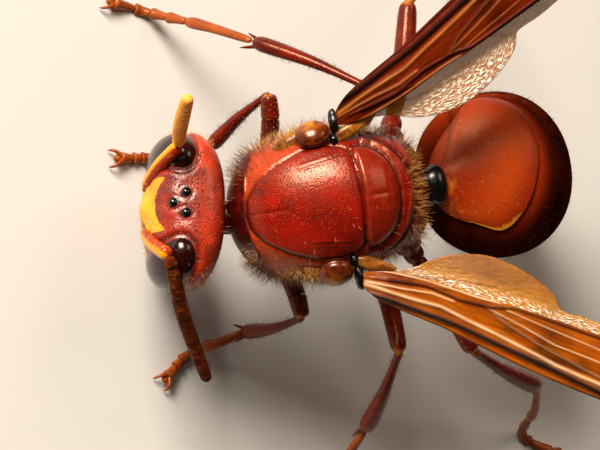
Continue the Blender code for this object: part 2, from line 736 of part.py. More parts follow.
# Wings. Outlines are in the wing's own frame: s runs out from its root, t towards the hind edge.
FOREWING_LENGTH = 17.4
FOREWING_LEAD = ((0.35, -0.28), (1.0, -0.42), (2.5, -0.52), (4.5, -0.6), (7.0, -0.74), (10.0, -0.86),
                 (12.5, -0.84), (14.5, -0.62), (16.0, -0.24), (17.0, 0.2), (17.4, 0.5))
FOREWING_TRAIL = ((0.35, 0.3), (1.0, 0.62), (2.5, 0.88), (4.75, 0.91), (8.3, 1.14), (11.0, 1.34),
                  (13.2, 1.42), (15.0, 1.34), (16.3, 1.1), (17.1, 0.85), (17.4, 0.65))
HINDWING_LEAD = ((0.6, 0.0), (1.5, -0.25), (4.0, -0.3), (8.0, -0.35), (11.0, -0.2), (12.6, 0.25), (13.0, 0.5))
HINDWING_TRAIL = ((0.6, 0.45), (1.6, 1.2), (2.6, 1.95), (3.6, 2.33), (4.5, 2.46), (5.3, 2.4), (6.1, 2.24),
                  (6.7, 1.92), (6.95, 1.55), (7.25, 1.5), (7.9, 1.68), (8.8, 1.66), (10.2, 1.5),
                  (11.6, 1.22), (12.6, 0.85), (13.0, 0.65))
# The forewing's raised veins as (s, t) lines with a height share: the thick dark vein behind the
# leading edge, the middle vein to its fork, the two branches, and the folded hind edge.
FOREWING_VEINS = (
    (((0.5, -0.08), (1.3, -0.25), (4.0, -0.32), (8.0, -0.42), (12.0, -0.5)), 1.0, 0.15),
    (((0.6, 0.15), (2.0, 0.38), (3.6, 0.6), (4.8, 0.66)), 0.8, 0.13),
    (((4.8, 0.66), (6.5, 0.42), (9.5, 0.3), (13.5, 0.25), (16.2, 0.2)), 0.7, 0.12),
    (((4.8, 0.66), (7.0, 0.86), (10.0, 1.02), (14.0, 1.05)), 0.7, 0.12),
)
HINDWING_VEINS = (
    (((0.9, 0.3), (3.5, 0.9), (6.6, 1.35)), 0.8, 0.16),
    (((0.9, 0.1), (4.0, 0.15), (8.0, 0.25), (12.0, 0.4)), 0.8, 0.14),
)
WINGS = {
    "right": {"root": (0.63, 2.77, 1.75), "angle": math.radians(29)},
    "left": {"root": (0.57, -2.79, 1.75), "angle": math.radians(-31.2)},
}
FOREWING_LIFT = math.radians(1.5)
HINDWING_DROP = WING_THICKNESS + 0.28 * MM


def edge_at(outline, s):
    """The t value of an outline at s."""
    for first, second in zip(outline, outline[1:]):
        if s <= second[0]:
            share = (s - first[0]) / (second[0] - first[0])
            return first[1] + (second[1] - first[1]) * share
    return outline[-1][1]


def vein_height(veins, s, t):
    """How far the surface stands up at (s, t) for the veins that pass there."""
    height = 0.0
    for line, share, half_width in veins:
        for (s0, t0), (s1, t1) in zip(line, line[1:]):
            along = max(0.0, min(1.0, ((s - s0) * (s1 - s0) + (t - t0) * (t1 - t0))
                                 / ((s1 - s0) ** 2 + (t1 - t0) ** 2)))
            near = math.hypot(s - s0 - along * (s1 - s0), t - t0 - along * (t1 - t0))
            height = max(height, share * max(0.0, 1.0 - near / half_width))
    return height


def vein_crossings(veins, s, low, high):
    """The t of each vein's crest at s, so that the grid has points on it."""
    found = []
    for line, _, half_width in veins:
        if line[0][0] <= s <= line[-1][0]:
            crest = edge_at(line, s)
            if low + half_width < crest < high - half_width:
                found.append((crest, half_width))
    return found


def wing_mesh(lead, trail, veins, stations, columns, arch):
    """A thin closed plate between two outlines, with ridges for veins on its upper face."""
    top_rows, bottom_rows = [], []
    for s in stations:
        low, high = edge_at(lead, s), edge_at(trail, s)
        places = [low + (high - low) * i / (columns - 1) for i in range(columns)]
        for crest, _ in vein_crossings(veins, s, low, high):
            nearest = min(range(1, columns - 1), key=lambda i: abs(places[i] - crest))
            places[nearest] = crest
        places.sort()
        top, bottom = [], []
        for i, t in enumerate(places):
            across = 2 * i / (columns - 1) - 1
            camber = arch * (1 - across * across)
            ridge = vein_height(veins, s, t) * VEIN_HEIGHT / MM
            edge = 0.06 if i in (0, columns - 1) else 0.0
            top.append(Vector((s, t, camber + WING_THICKNESS / MM / 2 + ridge - edge)) * MM)
            bottom.append(Vector((s, t, camber - WING_THICKNESS / MM / 2 + edge)) * MM)
        top_rows.append(top)
        bottom_rows.append(bottom)
    bm = bmesh.new()
    upper = [[bm.verts.new(p) for p in row] for row in top_rows]
    lower = [[bm.verts.new(p) for p in row] for row in bottom_rows]
    rows = len(upper)
    for i in range(rows - 1):
        for j in range(columns - 1):
            for grid, turned in ((upper, False), (lower, True)):
                a, b, c, d = grid[i][j], grid[i + 1][j], grid[i + 1][j + 1], grid[i][j + 1]
                for corners in ((a, b, c), (a, c, d)):
                    bm.faces.new(tuple(reversed(corners)) if turned else corners)
    for i in range(rows - 1):
        for j, turned in ((0, True), (columns - 1, False)):
            a, b = upper[i][j], upper[i + 1][j]
            c, d = lower[i + 1][j], lower[i][j]
            bm.faces.new((a, b, c, d) if turned else (d, c, b, a))
    for j in range(columns - 1):
        for i, turned in ((0, False), (rows - 1, True)):
            a, b = upper[i][j], upper[i][j + 1]
            c, d = lower[i][j + 1], lower[i][j]
            bm.faces.new((a, b, c, d) if turned else (d, c, b, a))
    bmesh.ops.recalc_face_normals(bm, faces=bm.faces)
    mesh = bpy.data.meshes.new("wing")
    bm.to_mesh(mesh)
    bm.free()
    return mesh


def wing_frame(word):
    """The wing's own frame: x out along the wing, y to the hind edge, z dorsal."""
    wing = WINGS[word]
    side = 1 if word == "right" else -1
    turn = Matrix.Rotation(wing["angle"], 4, "Z") @ Matrix.Rotation(-FOREWING_LIFT, 4, "Y")
    root = Matrix.Translation(Vector(wing["root"]) * MM)
    return BODY_FRAME @ root @ turn @ Matrix.Diagonal((1, -side, 1, 1))


def set_outward(obj):
    """Turns the faces outwards after a mirroring frame."""
    bm = bmesh.new()
    bm.from_mesh(obj.data)
    bmesh.ops.recalc_face_normals(bm, faces=bm.faces)
    bm.to_mesh(obj.data)
    bm.free()


def make_wings(word):
    """The pleated forewing, held out as a narrow strap, and the clear hindwing below it."""
    frame = wing_frame(word)
    stations = [0.35, 0.8, 1.4, 2.2, 3.2, 4.1, 4.8, 5.6, 6.8, 8.0, 9.4, 10.8, 12.0, 13.2, 14.4, 15.4,
                16.3, 17.0, FOREWING_LENGTH]
    mesh = wing_mesh(FOREWING_LEAD, FOREWING_TRAIL, FOREWING_VEINS, stations, 9, 0.12)
    forewing = make_object(f"forewing_{word}", mesh, "wing_amber", frame)
    set_outward(forewing)
    cut_clear_of_thorax(forewing)

    stations = [0.6, 1.2, 1.6, 2.6, 3.6, 4.5, 5.3, 6.1, 6.7, 6.95, 7.25, 7.9, 8.8, 10.2, 11.6, 12.6, 13.0]
    mesh = wing_mesh(HINDWING_LEAD, HINDWING_TRAIL, HINDWING_VEINS, stations, 8, 0.0)
    drop = Matrix.Translation(Vector((0, 0, -HINDWING_DROP)))
    hindwing = make_object(f"hindwing_{word}", mesh, "wing_pale", frame @ drop)
    set_outward(hindwing)
    cut_clear_of_thorax(hindwing)


TEGULA_PLACE = (-0.2, 2.62, 1.82)
TEGULA_RADII = (0.55, 0.5, 0.26)
TEGULA_TILT = math.radians(38)


def make_tegula(side, word):
    """The domed scale over the wing's root."""
    x, y, z = TEGULA_PLACE
    tilt = (-side * TEGULA_TILT, 0, 0)
    mesh = ellipsoid_mesh("tegula", (x, y * side, z), TEGULA_RADII, tilt, 14, 8)
    tegula = make_object(f"tegula_{word}", mesh, "orange_cuticle", BODY_FRAME)
    cut_clear_of_thorax(tegula)


def main():
    clear_scene()
    make_thorax()
    make_head()
    make_tongue()
    for side, word in ((1, "right"), (-1, "left")):
        make_mandible(side, word)
        make_antenna(side, word)
        make_tegula(side, word)
        make_wings(word)
    make_gaster()
    for name, leg in LEGS.items():
        make_leg(name, leg)


main()
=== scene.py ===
"""Looks of the oriental hornet: skins, eyes, wings, legs, feelers and hair over the solid model.

Every size is in millimetres in the frame that the piece grows in: the body frame (x rearward,
y to the insect's right, z dorsal), the head's own frame, a wing's frame or the world.
"""

import logging
import math
import random
from bisect import bisect_left
from dataclasses import dataclass, field
from enum import Enum
from functools import cache, partial
from typing import Callable, NamedTuple, Sequence
import bpy
from mathutils import Matrix, Vector, noise


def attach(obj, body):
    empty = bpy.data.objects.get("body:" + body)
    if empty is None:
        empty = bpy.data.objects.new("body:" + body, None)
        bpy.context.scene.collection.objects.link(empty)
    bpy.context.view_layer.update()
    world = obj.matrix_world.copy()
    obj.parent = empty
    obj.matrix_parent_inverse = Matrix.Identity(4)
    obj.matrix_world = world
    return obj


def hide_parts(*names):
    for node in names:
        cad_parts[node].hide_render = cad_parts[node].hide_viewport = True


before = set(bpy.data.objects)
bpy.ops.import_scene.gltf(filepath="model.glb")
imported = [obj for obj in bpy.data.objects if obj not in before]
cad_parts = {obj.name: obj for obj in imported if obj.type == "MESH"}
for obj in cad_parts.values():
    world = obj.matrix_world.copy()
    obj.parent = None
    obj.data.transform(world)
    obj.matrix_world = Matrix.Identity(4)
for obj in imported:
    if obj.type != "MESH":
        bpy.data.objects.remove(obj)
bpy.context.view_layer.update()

Piece = bpy.types.Object
Material = bpy.types.Material
Tree = bpy.types.NodeTree
Socket = bpy.types.NodeSocket
Triple = tuple[float, float, float]
Line = Sequence[tuple[float, float]]
Table = Sequence[Sequence[float]]

LOG = logging.getLogger("hornet")
MM = 0.001
BODY = "root"

# The stance that the solids have: the body frame's place and pitch, then the head's in it.
BODY_ORIGIN = Vector((-3.01, -0.045, 7.2)) * MM
PITCH = math.radians(32)
HEAD_CENTRE = Vector((-5.2, 0.5, 0.1)) * MM
HEAD_YAW = math.radians(-9.7)
HEAD_ROLL = math.radians(12)

BODY_FRAME = Matrix.Translation(BODY_ORIGIN) @ Matrix.Rotation(-PITCH, 4, "Y")
HEAD_FRAME = (BODY_FRAME @ Matrix.Translation(HEAD_CENTRE)
              @ Matrix.Rotation(HEAD_YAW, 4, "Z") @ Matrix.Rotation(-HEAD_ROLL, 4, "X"))
WORLD = Matrix()
BODY_UP = BODY_FRAME.to_3x3() @ Vector((0, 0, 1))
# How high in millimetres the feet's lowest points stand over the floor.
FLOOR_GAP = 0.02
# How squarely a limb's ends are rounded off.
LIMB_END_EXPONENT = 14


class Side(Enum):
    """The insect's two sides, with the sign of y on each."""

    RIGHT = 1
    LEFT = -1

    @property
    def word(self) -> str:
        """The side's name as the nodes spell it."""
        return self.name.lower()


class Point(NamedTuple):
    """A surface point in millimetres, with three values that its finish reads."""

    place: Vector
    # shade darkens the finish: on cuticle mostly painted shade in grooves, hollows, creases and
    # folds, with some real dark patches; on a wing, the real dark veins.
    shade: float = 0.0
    mark: float = 0.0
    tone: float = 0.0


Surface = Callable[[float, float], Point]


# Curves and distances


def curve(table: Table, place: float, column: int = 1) -> float:
    """Reads a station table by a smooth curve through its rows.

    Args:
        table: rows that start with their place, in rising order.
        place: where to read.
        column: which value of the row to read.

    Returns:
        The value there, held level past both ends.
    """
    places = [row[0] for row in table]
    if place <= places[0]:
        return table[0][column]
    if place >= places[-1]:
        return table[-1][column]
    i = bisect_left(places, place)
    x0, x1 = places[i - 1], places[i]
    y0, y1 = table[i - 1][column], table[i][column]

    def slope(k: int) -> float:
        """Slope at row k, from its two neighbours."""
        before, after = max(0, k - 1), min(len(table) - 1, k + 1)
        return (table[after][column] - table[before][column]) / (places[after] - places[before])

    t = (place - x0) / (x1 - x0)
    m0, m1 = slope(i - 1) * (x1 - x0), slope(i) * (x1 - x0)
    return (y0 * (2 * t**3 - 3 * t**2 + 1) + m0 * (t**3 - 2 * t**2 + t)
            + y1 * (3 * t**2 - 2 * t**3) + m1 * (t**3 - t**2))


def line_distance(points: Sequence[Sequence[float]], x: float, y: float) -> float:
    """Distance of (x, y) from an open line.

    Args:
        points: the line's corners.
        x: the point's first coordinate.
        y: the point's second coordinate.

    Returns:
        The shortest distance.
    """
    best = 1e9
    for (x0, y0), (x1, y1) in zip(points, points[1:]):
        dx, dy = x1 - x0, y1 - y0
        t = max(0.0, min(1.0, ((x - x0) * dx + (y - y0) * dy) / (dx * dx + dy * dy)))
        best = min(best, math.hypot(x - x0 - t * dx, y - y0 - t * dy))
    return best


def crossed_distance(line: Table, x: float, y: float) -> float:
    """Distance of (x, y) from a line that is given as (y, x)."""
    return line_distance([(v, u) for u, v in line], x, y)


def bell(distance: float, width: float) -> float:
    """1 on a line, falling smoothly to nothing at about twice the width from it."""
    return math.exp(-(distance / width) ** 2)


def step(low: float, high: float, value: float) -> float:
    """Rises smoothly from 0 at low to 1 at high."""
    t = max(0.0, min(1.0, (value - low) / (high - low)))
    return t * t * (3 - 2 * t)


def rounded(angle: float, exponent: float) -> tuple[float, float]:
    """Cosine and sine of an angle, squared off by a superellipse's exponent."""
    c, s = math.cos(angle), math.sin(angle)
    return (math.copysign(abs(c) ** (2 / exponent), c), math.copysign(abs(s) ** (2 / exponent), s))


def pole_close(share: float, exponent: int) -> float:
    """1 along a form, and 0 at its two poles: the higher the exponent, the blunter its ends."""
    return math.sqrt(max(0.0, 1 - abs(2 * share - 1) ** exponent))


# Modelling


def deselect() -> None:
    """Leaves nothing selected, so that an operator acts on the new piece alone."""
    for obj in list(bpy.context.selected_objects):
        obj.select_set(False)


def tidy_mesh() -> None:
    """Turns all faces of the active piece outwards and shades them smooth."""
    bpy.ops.object.mode_set(mode="EDIT")
    bpy.ops.mesh.select_all(action="SELECT")
    bpy.ops.mesh.normals_make_consistent(inside=False)
    bpy.ops.object.mode_set(mode="OBJECT")
    bpy.ops.object.shade_smooth()


def write_values(obj: Piece, name: str, values: Sequence[float]) -> None:
    """Stores one number for each vertex under a name that a finish reads."""
    attribute = obj.data.attributes.new(name=name, type="FLOAT", domain="POINT")
    attribute.data.foreach_set("value", list(values))


def ball(name: str, segments: int, rings: int, surface: Surface, place: Matrix) -> Piece:
    """Models a closed form by moving a sphere's points onto a surface.

    Args:
        name: the object's name.
        segments: points round the sphere.
        rings: rings from pole to pole.
        surface: gives the point for a turn in radians and a share from pole to pole.
        place: the frame that the surface is in, whose unit is a metre.

    Returns:
        The object, at the world's origin, with the values shade, mark and tone.
    """
    deselect()
    bpy.ops.mesh.primitive_uv_sphere_add(segments=segments, ring_count=rings, radius=1.0)
    obj = bpy.context.object
    obj.name = obj.data.name = name
    points = []
    for vert in obj.data.vertices:
        share = math.acos(max(-1.0, min(1.0, vert.co.z))) / math.pi
        point = surface(math.atan2(vert.co.y, vert.co.x), share)
        vert.co = place @ (point.place * MM)
        points.append(point)
    for key in ("shade", "mark", "tone"):
        write_values(obj, key, [getattr(point, key) for point in points])
    tidy_mesh()
    return obj


def join(name: str, pieces: Sequence[Piece]) -> Piece:
    """Joins several objects into one mesh of separate bodies.

    Args:
        name: the joined object's name.
        pieces: the objects: the first takes in the rest.

    Returns:
        The joined object.
    """
    deselect()
    for piece in pieces:
        piece.select_set(True)
    bpy.context.view_layer.objects.active = pieces[0]
    if len(pieces) > 1:
        bpy.ops.object.join()
    pieces[0].name = pieces[0].data.name = name
    return pieces[0]


class Path3:
    """A smooth path through points in millimetres, read by its share of the length."""

    def __init__(self, points: Sequence[Vector], steps: int = 12) -> None:
        """Samples the curve through the points.

        Args:
            points: what the path runs through, in millimetres.
            steps: samples from each point to the next.
        """
        ends = [points[0] * 2 - points[1], *points, points[-1] * 2 - points[-2]]
        self.found: list[Vector] = []
        for i in range(1, len(ends) - 2):
            a, b, c, d = ends[i - 1 : i + 3]
            for k in range(steps):
                t = k / steps
                self.found.append(0.5 * (2 * b + (c - a) * t + (2 * a - 5 * b + 4 * c - d) * t * t
                                         + (3 * b - a - 3 * c + d) * t**3))
        self.found.append(points[-1].copy())
        self.lengths = [0.0]
        for first, second in zip(self.found, self.found[1:]):
            self.lengths.append(self.lengths[-1] + (second - first).length)

    def at(self, share: float) -> tuple[Vector, Vector]:
        """Reads the path, also a little past its ends.

        Args:
            share: how far along, as a share of the length.

        Returns:
            The point and the direction there.
        """
        distance = share * self.lengths[-1]
        i = min(max(bisect_left(self.lengths, distance), 1), len(self.found) - 1)
        span = self.found[i] - self.found[i - 1]
        t = (distance - self.lengths[i - 1]) / (self.lengths[i] - self.lengths[i - 1])
        before = self.found[max(0, i - 2)]
        after = self.found[min(len(self.found) - 1, i + 1)]
        return self.found[i - 1] + span * t, (after - before).normalized()


def limb_surface(path: Path3, profile: Table, hint: Vector, *, depth: float = 1.0,
                 floor: bool = False, start: float = 0.0, end: float = 1.0,
                 marks: Callable[[float], float] | None = None, crest: float = 0.0) -> Surface:
    """The surface of a tapered, rounded limb along a path in the world.

    Args:
        path: the middle line, in millimetres.
        profile: (share, radius in mm) rows from root to tip.
        hint: the direction that the section's thin way is set against.
        depth: thickness as a share of the width.
        floor: whether what is below z = 0 is pressed flat onto it.
        start: share of the path where the limb starts.
        end: share of the path where it ends.
        marks: gives the mark for a share along the limb.
        crest: how warm the side that faces the hint is.

    Returns:
        The surface.
    """

    def surface(turn: float, share: float) -> Point:
        """Rings crowd towards both ends, which are round."""
        along = (1 - math.cos(math.pi * share)) / 2 * 0.35 + share * 0.65
        close = pole_close(share, LIMB_END_EXPONENT)
        centre, direction = path.at(start + (end - start) * along)
        across = direction.cross(hint).normalized()
        upward = across.cross(direction).normalized()
        radius = curve(profile, along) * close
        offset = across * math.cos(turn) + upward * math.sin(turn) * depth
        place = centre + offset * radius
        if floor:
            place.z = max(place.z, FLOOR_GAP)
        warm = crest * step(0.7, 0.98, math.sin(turn))
        return Point(place, 0.0, marks(along) if marks else 0.0, warm)

    return surface


def limb(name: str, path: Path3, profile: Table, hint: Vector, *, segments: int = 20,
         rings: int = 36, **shape: object) -> Piece:
    """Models a limb of so many segments round and rings along.

    Args:
        name: the object's name.
        path: the middle line, in millimetres.
        profile: (share, radius in mm) rows from root to tip.
        hint: the direction that the section's thin way is set against.
        segments: points round it.
        rings: rings from end to end.
        shape: what else limb_surface takes.

    Returns:
        The limb.
    """
    return ball(name, segments, rings, limb_surface(path, profile, hint, **shape), WORLD)


def thorn(name: str, base: Vector, tip: Vector, profile: Table, hint: Vector,
          **shape: object) -> Piece:
    """A straight limb from base to tip."""
    return limb(name, Path3([base, base.lerp(tip, 0.6), tip]), profile, hint, **shape)


def bowed(start: Vector, end: Vector, bow: Vector) -> Path3:
    """A path whose middle is moved aside by the bow."""
    return Path3([start, start.lerp(end, 0.5) + bow, end])


def world_mm(place: Matrix, point: Sequence[float]) -> Vector:
    """A point in a frame's millimetres as world millimetres."""
    return place @ (Vector(point) * MM) / MM


def world_way(place: Matrix, x: float, y: float, z: float) -> Vector:
    """A direction in a frame as a direction in the world."""
    return place.to_3x3() @ Vector((x, y, z))


def mirrored(point: Sequence[float], side: Side) -> Vector:
    """A point that is given for the right side, on the side asked for."""
    return Vector((point[0], point[1] * side.value, point[2]))


def path_in(place: Matrix, points: Table, side: Side = Side.RIGHT) -> Path3:
    """A smooth path through a frame's points, mirrored for the left side."""
    return Path3([world_mm(place, mirrored(point, side)) for point in points])


def scaled(rows: Table, *factors: float) -> Table:
    """A limb's profile with every radius multiplied by the factors."""
    for factor in factors:
        rows = [(share, radius * factor) for share, radius in rows]
    return rows


def sphere_way(turn: float, share: float) -> Vector:
    """The unit sphere's point at a turn and a share from pole to pole."""
    ring = math.sin(math.pi * share)
    return Vector((math.cos(turn) * ring, math.sin(turn) * ring, math.cos(math.pi * share)))


def stretched(out: Vector, radii: Sequence[float], factor: float = 1.0) -> Vector:
    """The unit sphere's point moved onto an ellipsoid."""
    return Vector([part * radius * factor for part, radius in zip(out, radii)])


def noise_at(scale: float, x: float, y: float, z: float) -> float:
    """Smooth noise, about -1 to 1, at a point that is scaled up first."""
    return noise.noise(Vector((x * scale, y * scale, z * scale)))


# Finishes


def linear(code: str) -> tuple[float, float, float, float]:
    """Turns an sRGB colour into a linear one.

    Args:
        code: the colour in hex, such as #b8300c.

    Returns:
        Red, green, blue and full alpha.
    """
    parts = [int(code[i : i + 2], 16) / 255 for i in (1, 3, 5)]
    turned = [p / 12.92 if p <= 0.04045 else ((p + 0.055) / 1.055) ** 2.4 for p in parts]
    return (*turned, 1.0)


def add(tree: Tree, kind: str, inputs: dict | None = None, **settings: object) -> bpy.types.Node:
    """Adds one shader node.

    Args:
        tree: the material's node tree.
        kind: the node's type, without ShaderNode.
        inputs: value or output socket for each input, by name or number.
        settings: the node's own properties.

    Returns:
        The node.
    """
    node = tree.nodes.new("ShaderNode" + kind)
    for key, value in settings.items():
        setattr(node, key, value)
    for key, value in (inputs or {}).items():
        if isinstance(value, Socket):
            tree.links.new(value, node.inputs[key])
        else:
            node.inputs[key].default_value = value
    return node


def blank(name: str) -> tuple[Material, Tree]:
    """Starts a material with only its output node.

    Args:
        name: the material's name.

    Returns:
        The material and its node tree.
    """
    material = bpy.data.materials.new(name)
    material.use_nodes = True
    tree = material.node_tree
    for node in list(tree.nodes):
        if node.type != "OUTPUT_MATERIAL":
            tree.nodes.remove(node)
    return material, tree


def value_of(tree: Tree, name: str) -> Socket:
    """A value that the piece's vertices carry."""
    return add(tree, "Attribute", attribute_name=name).outputs["Fac"]


def mix(tree: Tree, share: object, low: object, high: object) -> Socket:
    """A colour between two, each of them a hex code or a socket."""
    first, second = (linear(c) if isinstance(c, str) else c for c in (low, high))
    return add(tree, "Mix", {0: share, 6: first, 7: second}, data_type="RGBA").outputs[2]


def ramp(tree: Tree, value: Socket, low: float = 0.0, high: float = 1.0, least: float = 0.0,
         most: float = 1.0, **settings: object) -> Socket:
    """Turns the range low to high into least to most, and holds it past both ends."""
    inputs = {0: value, 1: low, 2: high, 3: least, 4: most}
    return add(tree, "MapRange", inputs, **settings).outputs[0]


def calc(tree: Tree, kind: str, *values: object) -> Socket:
    """One arithmetic step with numbers or sockets."""
    return add(tree, "Math", dict(enumerate(values)), operation=kind).outputs[0]


def cloud(tree: Tree, where: Socket, size: float, **inputs: float) -> Socket:
    """Noise whose patches are about so many millimetres wide."""
    inputs |= {"Vector": where, "Scale": 1 / (size * MM)}
    return add(tree, "TexNoise", inputs).outputs["Fac"]


def cells(tree: Tree, where: Socket, size: float) -> Socket:
    """Distance from the middles of cells that are about so many millimetres wide."""
    inputs = {"Vector": where, "Scale": 1 / (size * MM)}
    return add(tree, "TexVoronoi", inputs).outputs["Distance"]


def bumped(tree: Tree, strength: float, depth: float, height: Socket, **inputs: object) -> Socket:
    """A normal bent by a height, for forms about so many millimetres deep."""
    inputs |= {"Strength": strength, "Distance": depth * MM, "Height": height}
    return add(tree, "Bump", inputs).outputs[0]


def shaded(material: Material, inputs: dict) -> Material:
    """Ends a material in one shader.

    Args:
        material: the material whose nodes feed the shader.
        inputs: value or socket for each input of the shader.

    Returns:
        The same material.
    """
    tree = material.node_tree
    shader = add(tree, "BsdfPrincipled", inputs)
    tree.links.new(shader.outputs[0], tree.nodes["Material Output"].inputs[0])
    return material


@dataclass(frozen=True)
class Cuticle:
    """Insect cuticle: hardened chitin, smooth and waxy, with pits where hairs stand.

    The gloss comes from a thin wax layer over a base that scatters a little. Fine pits and a
    leathery microsculpture break the highlight up, as in life.
    """

    name: str
    base: str
    deep: str
    marking: str
    warm: str = "#a83a10"
    # groove: the colour of painted shade in grooves, hollows, folds and the pits' centres.
    groove: str = "#160303"
    roughness: float = 0.32
    specular: float = 0.42
    coat: float = 0.2
    pit_mm: float = 0.13
    pit_depth: float = 0.35
    pit_tone: float = 0.35
    pit_wide: float = 0.3
    grain_mm: float = 0.07
    grain_depth: float = 0.25
    patch_mm: float = 1.6
    mark_low: float = 0.0
    mark_high: float = 0.06
    mark_wobble: float = 0.05
    tint: str = "#ffc49a"

    def build(self) -> Material:
        """Makes the node material.

        Returns:
            The material, which reads the values shade, mark and tone of its piece.
        """
        material, tree = blank(self.name)
        where = add(tree, "TexCoord").outputs["Object"]
        patches = cloud(tree, where, self.patch_mm, Detail=4.0, Roughness=0.6)
        plain = mix(tree, ramp(tree, patches, 0.32, 0.68), self.base, self.deep)
        body = mix(tree, value_of(tree, "tone"), plain, self.warm)
        wobble = calc(tree, "SUBTRACT", cloud(tree, where, 0.22, Detail=3.0), 0.5)
        shifted = calc(tree, "MULTIPLY_ADD", wobble, self.mark_wobble * 2, value_of(tree, "mark"))
        inside = ramp(tree, shifted, self.mark_low, self.mark_high, interpolation_type="SMOOTHSTEP")
        marked = mix(tree, inside, body, self.marking)
        # Painted shade: the piece's shade value darkens its grooves, hollows and folds.
        darkened = mix(tree, value_of(tree, "shade"), marked, self.groove)
        # Painted shade in the pits: their centres darken towards the groove colour.
        pit = ramp(tree, cells(tree, where, self.pit_mm), 0.08, self.pit_wide)
        pit_tone = ramp(tree, inside, least=self.pit_tone, most=self.pit_tone * 0.25)
        depth = calc(tree, "MULTIPLY", calc(tree, "SUBTRACT", 1.0, pit), pit_tone)
        normal = bumped(tree, self.pit_depth, 0.03, pit)
        grain = cloud(tree, where, self.grain_mm, Detail=2.0)
        normal = bumped(tree, self.grain_depth, 0.02, grain, Normal=normal)
        rough = ramp(tree, patches, 0.3, 0.7, self.roughness * 0.8, self.roughness * 1.25)
        return shaded(material, {
            "Base Color": mix(tree, depth, darkened, self.groove), "Roughness": rough,
            "IOR": 1.48, "Specular IOR Level": self.specular,
            "Specular Tint": linear(self.tint), "Coat Weight": self.coat,
            "Coat Roughness": 0.14, "Normal": normal})


@dataclass(frozen=True)
class Lens:
    """The clear cornea over a dark eye: glassy, with a deep brown-black ground."""

    name: str
    base: str
    glow: str
    facet_mm: float
    facet_depth: float
    roughness: float
    specular: float = 0.5
    coat: float = 0.4
    coat_roughness: float = 0.16

    def build(self) -> Material:
        """Makes the node material. The facets are drawn coarser than life, to show at all."""
        material, tree = blank(self.name)
        where = add(tree, "TexCoord").outputs["Object"]
        facets = bumped(tree, self.facet_depth, 0.004, cells(tree, where, self.facet_mm))
        rough = ramp(tree, value_of(tree, "mark"), least=self.roughness, most=self.roughness * 1.6)
        return shaded(material, {
            "Base Color": mix(tree, cloud(tree, where, 0.9), self.base, self.glow),
            "Roughness": rough, "IOR": 1.4, "Specular IOR Level": self.specular,
            "Coat Weight": self.coat, "Coat Roughness": self.coat_roughness, "Normal": facets})


@dataclass(frozen=True)
class Membrane:
    """Wing membrane: thin amber cuticle between dark veins, with painted highlights where a pleat
    turns up.
    """

    name: str
    base: str
    deep: str
    vein: str
    # gleam: the colour of the painted highlights.
    gleam: str
    opacity: float
    warm: str
    roughness: float
    wrinkle_across: float = 46.0
    wrinkle_along: float = 18.0
    wrinkle_depth: float = 0.2
    wrinkle_height: float = 0.06
    dash: Triple = (0.3, 0.7, 0.45)
    clearcoat: float = 0.0
    specular: float = 0.5

    def build(self) -> Material:
        """Makes the node material.

        Returns:
            The material. It reads shade as the veins, mark as the painted highlights on the
            pleats and tone as the warm ground.
        """
        material, tree = blank(self.name)
        where = add(tree, "TexCoord").outputs["Object"]
        vein = value_of(tree, "shade")
        spread = ramp(tree, cloud(tree, where, 1.1, Detail=4.0), 0.35, 0.65)
        plain = mix(tree, spread, self.base, self.deep)
        film = mix(tree, value_of(tree, "tone"), plain, self.warm)
        chart = add(tree, "UVMap", uv_map="UVMap").outputs[0]
        lanes = add(tree, "Mapping", {"Vector": chart,
                                      "Scale": (self.wrinkle_across, self.wrinkle_along, 1.0)})
        fine = add(tree, "TexNoise", {"Vector": lanes.outputs[0], "Scale": 1.0, "Detail": 2.5,
                                      "Distortion": 0.4}).outputs["Fac"]
        # Painted highlights: the gleam colour where the pleats are marked, broken into streaks by
        # the wrinkles.
        bright = calc(tree, "MULTIPLY", value_of(tree, "mark"), ramp(tree, fine, *self.dash))
        pleated = mix(tree, bright, film, self.gleam)
        solid = calc(tree, "MAXIMUM", vein, bright)
        return shaded(material, {
            "Base Color": mix(tree, vein, pleated, self.vein),
            "Roughness": ramp(tree, vein, least=self.roughness, most=0.65), "IOR": 1.56,
            "Specular IOR Level": self.specular, "Coat Weight": self.clearcoat,
            "Coat Roughness": 0.12, "Alpha": ramp(tree, solid, least=self.opacity),
            "Normal": bumped(tree, self.wrinkle_depth, self.wrinkle_height, fine)})


@dataclass(frozen=True)
class Bristle:
    """Fine setae: horny hairs, paler and more golden towards their tips."""

    name: str
    root: str
    tip: str

    def build(self) -> Material:
        """Makes the node material. The value mark runs from 0 at the root to 1 at the tip."""
        material, tree = blank(self.name)
        colour = mix(tree, value_of(tree, "mark"), self.root, self.tip)
        return shaded(material, {"Base Color": colour, "Roughness": 0.45, "IOR": 1.55})


# Cuticle grown with a dense net of pits: grainy red, its gloss broken into specks.
RED_HEAD = Cuticle("chitin_red_punctured", "#a42202", "#520802", "#e8a400", warm="#bc3002",
                   pit_mm=0.1, pit_wide=0.36, pit_depth=0.9, pit_tone=0.9, roughness=0.34,
                   specular=0.7, patch_mm=0.75, grain_depth=0.8, tint="#ffe4d8")
# Thick smooth cuticle with fine pits: deep red under a clear gloss, like lacquer.
RED_THORAX = Cuticle("chitin_red_glossy", "#941002", "#4c0301", "#a83006", warm="#781402",
                     roughness=0.27, specular=0.62, pit_mm=0.09, pit_depth=0.6, pit_tone=0.6,
                     grain_depth=0.6, coat=0.15)
# Satin cuticle under a fine down with a broad soft sheen; its warm tone is a painted glow across
# the plate's middle, its amber marking a painted highlight on the hind edge.
RED_GASTER = Cuticle("chitin_red_satin", "#9c2608", "#741a03", "#c88420", warm="#a83c0a",
                     groove="#220803", roughness=0.38, specular=0.4, coat=0.0, pit_mm=0.16,
                     pit_depth=0.2, mark_low=-0.05, mark_high=0.12, mark_wobble=0.12, patch_mm=1.0)
